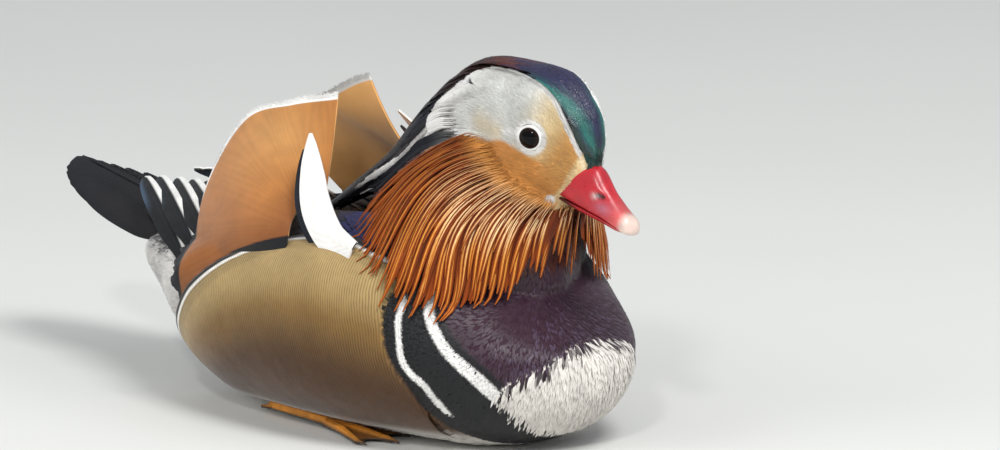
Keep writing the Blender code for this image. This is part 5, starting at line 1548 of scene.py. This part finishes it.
def scapular(name, white, flip, rows=40, wide=17):
    t = np.linspace(0, 1, rows)
    path = (SCAPULAR_LEFT if flip else SCAPULAR_RIGHT)(t if white else t * 0.9)
    if not white:
        path = path + (np.array([-5, 0, -0.6]) - SCAPULAR_OUT * SCAPULAR_APART) * step(0.02, 0.3, t)[:, None]
    width = SCAPULAR_WIDTH * (1 if white else 0.95) * SCAPULAR_TAPER(t)
    grid, up = quills(path[None], np.broadcast_to(SCAPULAR_OUT, path.shape)[None], width[None], wide, 0.08)
    s = np.linspace(-1, 1, wide)[None, None, :]
    base = WHITE if white else BLUE_BLACK
    shaft = np.exp(-(s / 0.07) ** 2) + 0 * t[None, :, None]
    tint = blend(base, CREAM if white else BLACK, 0.15 * shaft)
    grid, up = (mirror(grid), mirror(up)) if flip else (grid, up)
    return plates(name, grid, up, 0.9 if white else 0.7, tint, crest_white if white else dark_vane)


for side, flip in (("right", False), ("left", True)):
    keep(scapular("scapular_" + side + "_white", True, flip))
    keep(scapular("scapular_" + side + "_dark", False, flip))

# Tail

TAIL_TILT = math.radians(-14)
RECTRICES = 6


def rectrices(name, flip, rows=22, wide=9):
    side = np.linspace(0, 1, RECTRICES)[:, None]
    root = xyz(-96 + 0 * side, -4 - 11 * side, 65.5 - 5 * side)
    tip = xyz(-175 + 24 * side ** 2, -3.5 - 14 * side, 83 - 7 * side)
    middle = (root + tip) / 2 + xyz(0 * side, -5 * side, -1 + 0 * side)
    t = np.linspace(0, 1, rows)[None, :]
    path = bend(root, middle, tip, t)
    ups = xyz(0.2 + 0 * side, -0.3 - 0.3 * side, 0.8 + 0 * side) + 0 * path
    ups = tilted(path, unit(ups), TAIL_TILT)
    grid, up = quills(path, ups, 13.5 * feather_width(t, 0.35) * np.ones((RECTRICES, 1)), wide, 0.05)
    s = np.linspace(-1, 1, wide)[None, None, :]
    colour = blend(TAIL_BROWN, BLACK, 0.5 * step(0.2, 1.0, np.abs(s)) + 0 * t[..., None])
    colour = blend(colour, BLUE_BLACK, 0.5 * t[..., None] + 0 * s)
    grid, up = (mirror(grid), mirror(up)) if flip else (grid, up)
    return plates(name, grid, up, 0.7, np.broadcast_to(colour, grid.shape), dark_vane)


def core_point(t, a, lift):
    centre = np.array([-84, 0, 58]) + (np.array([-140, 0, 69]) - np.array([-84, 0, 58])) * t[..., None]
    wide, tall = 20 * (1 - 0.75 * t) + lift, 11 * (1 - 0.8 * t) + lift
    return centre + xyz(0 * t, -wide * np.cos(a), tall * np.sin(a))


def tail_core(name, stations=30, around=40):
    a = 2 * np.pi * (np.arange(around) + 0.5) / around
    rings = [core_point(np.full(around, t), a, -1.2) for t in np.linspace(0.02, 0.98, stations)]
    tint = np.concatenate([np.broadcast_to(blend(VENT_GREY, TAIL_BROWN, step(-0.1, 0.1, np.sin(a))),
                                           (stations, around, 3)).reshape(-1, 3), [VENT_GREY, VENT_GREY]])
    return loft(name, rings, (-82, 0, 58), (-140, 0, 69.2), skin_material("tail_skin"), tint=tint)


def tail_coverts(name, count=560, rows=6):
    first, a = draw.uniform(-0.1, 0.9, count), draw.uniform(0, 2 * np.pi, count)
    t = np.linspace(0, 1, rows)[:, None]
    reach = draw.uniform(0.16, 0.26, count)
    at = first + reach * t
    path = core_point(at, a + 0 * at, -1.6 + 2.4 * t)
    ups = unit(xyz(0 * at, -np.cos(a) / 2, np.sin(a)))
    width = draw.uniform(3.5, 5.5, count) * feather_width(t, 0.2) * (1.1 - 0.6 * first)
    under = blend(VENT_GREY, TAIL_BROWN, step(-0.15, 0.1, np.sin(a)) * np.ones(count))
    tint = np.broadcast_to((under * draw.normal(1, 0.06, count)[:, None])[None, None], (rows, 1, count, 3))
    uv = np.stack([a / (2 * np.pi), np.clip(first, 0, 1)], -1)
    return blades(name, path, ups, width, 0.25 + 0 * width, tint, uv, plain)


def upper_coverts(name, rows=16, wide=9):
    reach = np.array([-17, -13, -9, -5, 0, 5, 9, 13, 17], float)[:, None]
    start = xyz(-86 + 0 * reach, reach, 67 - np.abs(reach) * 0.3)
    end = xyz(-128 + np.abs(reach) * 0.8, reach * 0.85, 79.5 - np.abs(reach) * 0.38)
    t = np.linspace(0, 1, rows)[None, :]
    path = bend(start, (start + end) / 2 + np.array([0, 0, 1.5]), end, t)
    ups = unit(xyz(0 * reach, reach * 0.03, 1 + 0 * reach)) + 0 * path
    grid, up = quills(path, ups, 9.5 * feather_width(t, 0.3) * np.ones((9, 1)), wide, 0.08)
    s = np.linspace(-1, 1, wide)[None, None, :]
    colour = blend(TAIL_BROWN, BLACK, 0.6 * np.abs(s) + 0 * t[..., None])
    return plates(name, grid, up, 0.7, np.broadcast_to(colour, grid.shape), dark_vane)


keep(rectrices("tail_right", False))
keep(rectrices("tail_left", True))
keep(tail_core("tail_core"))
keep(tail_coverts("tail_undercoat"))
keep(upper_coverts("tail_coverts"))

# Bill

BILL_TIP, BILL_ROOT = 56.5, 12.0
CULMEN = smooth([(8, -2), (29, -3.6), (38, -9.5), (47, -14.2), (53, -16.6), (58, -19)])
BILL_WIDTH = smooth([(8, 7.6), (20, 8.2), (32, 7.2), (42, 6.1), (50, 5.8), (58, 5.0)])
BILL_EDGE = smooth([(8, -20.9), (40, -20.9), (50, -21.4), (58, -23.0)])
BILL_LOW = smooth([(8, -24.4), (30, -24.2), (46, -23.8), (56, -23.8)])
BILL_GAP = 0.25
NOSTRIL = (37.5, -12.6)
NAIL_START = 49.5


def bill_colour(along, side, up, upper):
    colour = blend(BILL_RED, BILL_PINK, 0.75 * step(40, 51, along))
    colour = blend(colour, BILL_NAIL, step(NAIL_START, NAIL_START + 4, along + 0.25 * (up + 20)))
    colour = blend(colour, BILL_GREY, 0.5 * np.exp(-((along - 41) / 4) ** 2 - ((up + 16.5) / 2.2) ** 2))
    # Painted shade: the nostril's opening is painted dark over a shallow pit
    pit = ((along - NOSTRIL[0]) / 2.4) ** 2 + ((up - NOSTRIL[1]) / 1.0) ** 2
    colour = blend(colour, DARK_MAROON, (1 - step(0.5, 1.3, pit)) * upper)
    rim = np.exp(-((along - 35.2) / 1.5) ** 2 - ((up + 13.4) / 1.0) ** 2) * upper
    colour = blend(colour, FACE_GREY, 0.7 * rim)
    # Painted shade: black along the gape at the bill's base, between the mandibles
    return blend(colour, BLACK, 0.85 * (1 - step(22, 31, along)) * (1 - step(-21.5, -19.5, up)))


def mandible(name, root, tip, top_of, low_of, width_of, cap, upper, widest, stations=70, around=56):
    """One half of the bill. widest is how far up its side it is broadest."""
    along = (root + (tip - root) * np.sin(np.pi / 2 * np.arange(stations) / stations))[:, None]
    a = 2 * np.pi * (np.arange(around) + 0.5) / around
    c, s = np.cos(a), np.sin(a)
    ends = round_end(along, cap, tip, 2.2)
    top, low = top_of(along), low_of(along)
    middle = low + (top - low) * widest
    side = width_of(along) * ends * np.sign(c) * np.abs(c) ** 0.85
    reach = np.where(s > 0, top - middle, middle - low)
    up = middle + reach * np.maximum(ends, 0.25) * np.sign(s) * np.abs(s) ** 0.85
    pit = ((along - NOSTRIL[0]) / 2.2) ** 2 + ((up - NOSTRIL[1]) / 0.9) ** 2
    side = side - np.sign(side) * 1.1 * np.exp(-pit) * upper
    nail = step(NAIL_START, NAIL_START + 2.5, along) * np.exp(-(side / 4.2) ** 4) * (s > 0) * upper
    up = up + 0.35 * nail
    rings = head_place(along + 0 * side, side, up)
    first = head_place(root, 0, (top_of(root) + low_of(root)) / 2)
    last = head_place(tip, 0, low_of(tip) + (top_of(tip) - low_of(tip)) * widest)
    tint = bill_colour(along + 0 * side, side, up, upper)
    tint = np.vstack([tint.reshape(-1, 3), tint[0, :1], tint[-1, :1]])
    return loft(name, rings, first, last, bill_material, tint=tint, sharp=60)


bill_material = horn_material("bill_horn")
keep(mandible("bill_top", BILL_ROOT, BILL_TIP, CULMEN, BILL_EDGE, BILL_WIDTH, 52.0, 1.0, 0.05))
keep(mandible("bill_bottom", BILL_ROOT, 54.5, lambda along: BILL_EDGE(along) - BILL_GAP, BILL_LOW,
              lambda along: BILL_WIDTH(along) * 0.94, 46.0, 0.0, 0.93))

# Eyes

LID_RADIUS, LID_THICK = 4.6, 0.8


def axes(pole):
    side = unit(np.cross(pole, [0, 0, 1.0]))
    return side, np.cross(pole, side)


def eyeball(name, flip, rows=40, around=64):
    side, third = axes(EYE_LOOK)
    turn, b = np.pi * np.arange(1, rows) / rows, 2 * np.pi * np.arange(around) / around
    radius = EYE_RADIUS * np.sin(turn)[:, None, None]
    rings = (EYE_CENTRE + EYE_LOOK * (EYE_RADIUS * np.cos(turn))[:, None, None]
             + (side * np.cos(b)[:, None] + third * np.sin(b)[:, None]) * radius)
    open_share = step(0.52, 0.6, turn)
    tint = blend(BLACK * 0.4, srgb(30, 17, 11), open_share * (1 - step(0.78, 0.9, turn)))
    tint = np.vstack([np.repeat(tint[:, None], around, 1).reshape(-1, 3), BLACK * 0.4, BLACK * 0.4])
    first, last = EYE_CENTRE + EYE_LOOK * EYE_RADIUS, EYE_CENTRE - EYE_LOOK * EYE_RADIUS
    if flip:
        rings, first, last = mirror(rings), mirror(first), mirror(last)
    return loft(name, rings, first, last, eye_gloss, tint=tint)


def lid(name, flip, around=72, sides=16):
    side, third = axes(EYE_LOOK)
    b, a = 2 * np.pi * np.arange(around) / around, 2 * np.pi * np.arange(sides) / sides
    out = side * np.cos(b)[:, None] + third * np.sin(b)[:, None]
    centre = EYE_SKIN - EYE_LOOK * 0.3
    ring = (centre + out[:, None] * (LID_RADIUS + 0.15 + LID_THICK * np.cos(a))[None, :, None]
            + EYE_LOOK * (LID_THICK * np.sin(a))[None, :, None])
    ring = mirror(ring) if flip else ring
    i, j = np.meshgrid(np.arange(around), np.arange(sides), indexing="ij")
    n, m = (i + 1) % around, (j + 1) % sides
    quads = np.stack([i * sides + j, i * sides + m, n * sides + m, n * sides + j], -1).reshape(-1, 4)
    points = ring.reshape(-1, 3)
    inner = np.broadcast_to(blend(WHITE, BLACK, np.cos(a) < -0.2), ring.shape)
    return mesh_object(name, points, outward(points, [quads]), lid_material, tint=inner)


eye_gloss = eye_material("eye_gloss")
lid_material = horn_material("eyelid", 0.5, 900.0, 0.05)
for side, flip in (("right", False), ("left", True)):
    keep(eyeball("eyeball_" + side, flip))
    keep(lid("lid_" + side, flip))

# Feet: the solids' own form, rounded and given scales


def foot(name, node):
    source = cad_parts[node]
    made = bpy.data.objects.new(name, source.data.copy())
    made.data.materials.clear()
    made.data.materials.append(feet_material)
    bpy.context.scene.collection.objects.link(made)
    remesh = made.modifiers.new("remesh", "REMESH")
    remesh.mode = "VOXEL"
    remesh.voxel_size = 0.45 * MM
    smoothing = made.modifiers.new("smooth", "SMOOTH")
    smoothing.factor = 0.5
    smoothing.iterations = 3
    evaluated(made)
    made.data.shade_smooth()
    return made


feet_material = scaly_material("foot_scales")
keep(foot("foot_right", "leg_right"))
keep(foot("foot_left", "leg_left"))

# What rides, and the solids that the pieces stand for, which are hidden

for piece in pieces.values():
    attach(piece, "root")
STANDS_FOR = {"skin": ["torso", "head", "neck", "crest"], "wing_right_coverts": ["wing_right"],
              "wing_left_coverts": ["wing_left"], "sail_right_vane": ["sail_right"],
              "sail_left_vane": ["sail_left"], "scapular_right_white": ["scapulars_right"],
              "scapular_left_white": ["scapulars_left"], "tail_core": ["tail"], "bill_top": ["bill_upper"],
              "bill_bottom": ["bill_lower"], "eyeball_right": ["eye_right"], "eyeball_left": ["eye_left"],
              "foot_right": ["leg_right"], "foot_left": ["leg_left"]}
for name, nodes in STANDS_FOR.items():
    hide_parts(*nodes)

# Floor, light and camera

CAMERA_TARGET = np.array([59.12, 33.48, 81.31])   # in the part's own frame
CAMERA_TURN, CAMERA_RISE = math.radians(45), math.radians(11.5)
CAMERA_FAR = 3500.0
PIXELS_PER_MM = 2.33
PICTURE_WIDTH = 1000


def make_floor():
    n = Nodes("floor")
    grain = n.noise(3.0, 2.0)
    colour = n.mix(grain, srgb(214, 214, 210), srgb(222, 222, 218))
    n.set(colour=colour, roughness=0.75, specular=0.2)
    mesh = bpy.data.meshes.new("floor")
    half = 30.0
    mesh.from_pydata([(-half, -half, 0), (half, -half, 0), (half, half, 0), (-half, half, 0)], [], [(0, 1, 2, 3)])
    mesh.materials.append(n.material)
    floor = bpy.data.objects.new("floor", mesh)
    bpy.context.scene.collection.objects.link(floor)


def area_light(name, place, target, size, energy, mirrored=True):
    lamp = bpy.data.lights.new(name, "AREA")
    lamp.shape, lamp.size, lamp.energy = "DISK", size, energy
    made = bpy.data.objects.new(name, lamp)
    made.location = place
    made.visible_glossy = mirrored
    made.rotation_euler = (Vector(target) - Vector(place)).to_track_quat("-Z", "Y").to_euler()
    bpy.context.scene.collection.objects.link(made)


def make_camera():
    back = np.array([math.cos(CAMERA_RISE) * math.sin(CAMERA_TURN), -math.cos(CAMERA_RISE) * math.cos(CAMERA_TURN),
                     math.sin(CAMERA_RISE)])
    eye = (CAMERA_TARGET + back * CAMERA_FAR) * MM
    data = bpy.data.cameras.new("camera")
    data.sensor_width = 36.0
    data.lens = PIXELS_PER_MM * CAMERA_FAR * data.sensor_width / PICTURE_WIDTH
    data.clip_start, data.clip_end = 0.1, 100.0
    camera = bpy.data.objects.new("camera", data)
    camera.location = eye
    camera.rotation_euler = Vector(-back).to_track_quat("-Z", "Y").to_euler()
    bpy.context.scene.collection.objects.link(camera)
    bpy.context.scene.camera = camera


make_floor()
make_camera()
area_light("key", (1.5, -0.3, 2.2), (0, 0, 0.08), 1.0, 42)
area_light("fill", (-0.6, -2.0, 1.1), (0, 0, 0.08), 1.6, 18, False)
area_light("front", (2.0, 0.5, 1.3), (0, 0, 0.08), 1.2, 12, False)
area_light("glint", (1.26, -1.78, 1.57), (0.12, 0, 0.13), 0.24, 14)
world = bpy.data.worlds.new("world")
world.use_nodes = True
world.node_tree.nodes["Background"].inputs["Color"].default_value = (0.86, 0.9, 0.95, 1)
world.node_tree.nodes["Background"].inputs["Strength"].default_value = 0.5
bpy.context.scene.world = world
bpy.context.scene.view_settings.view_transform = "Standard"
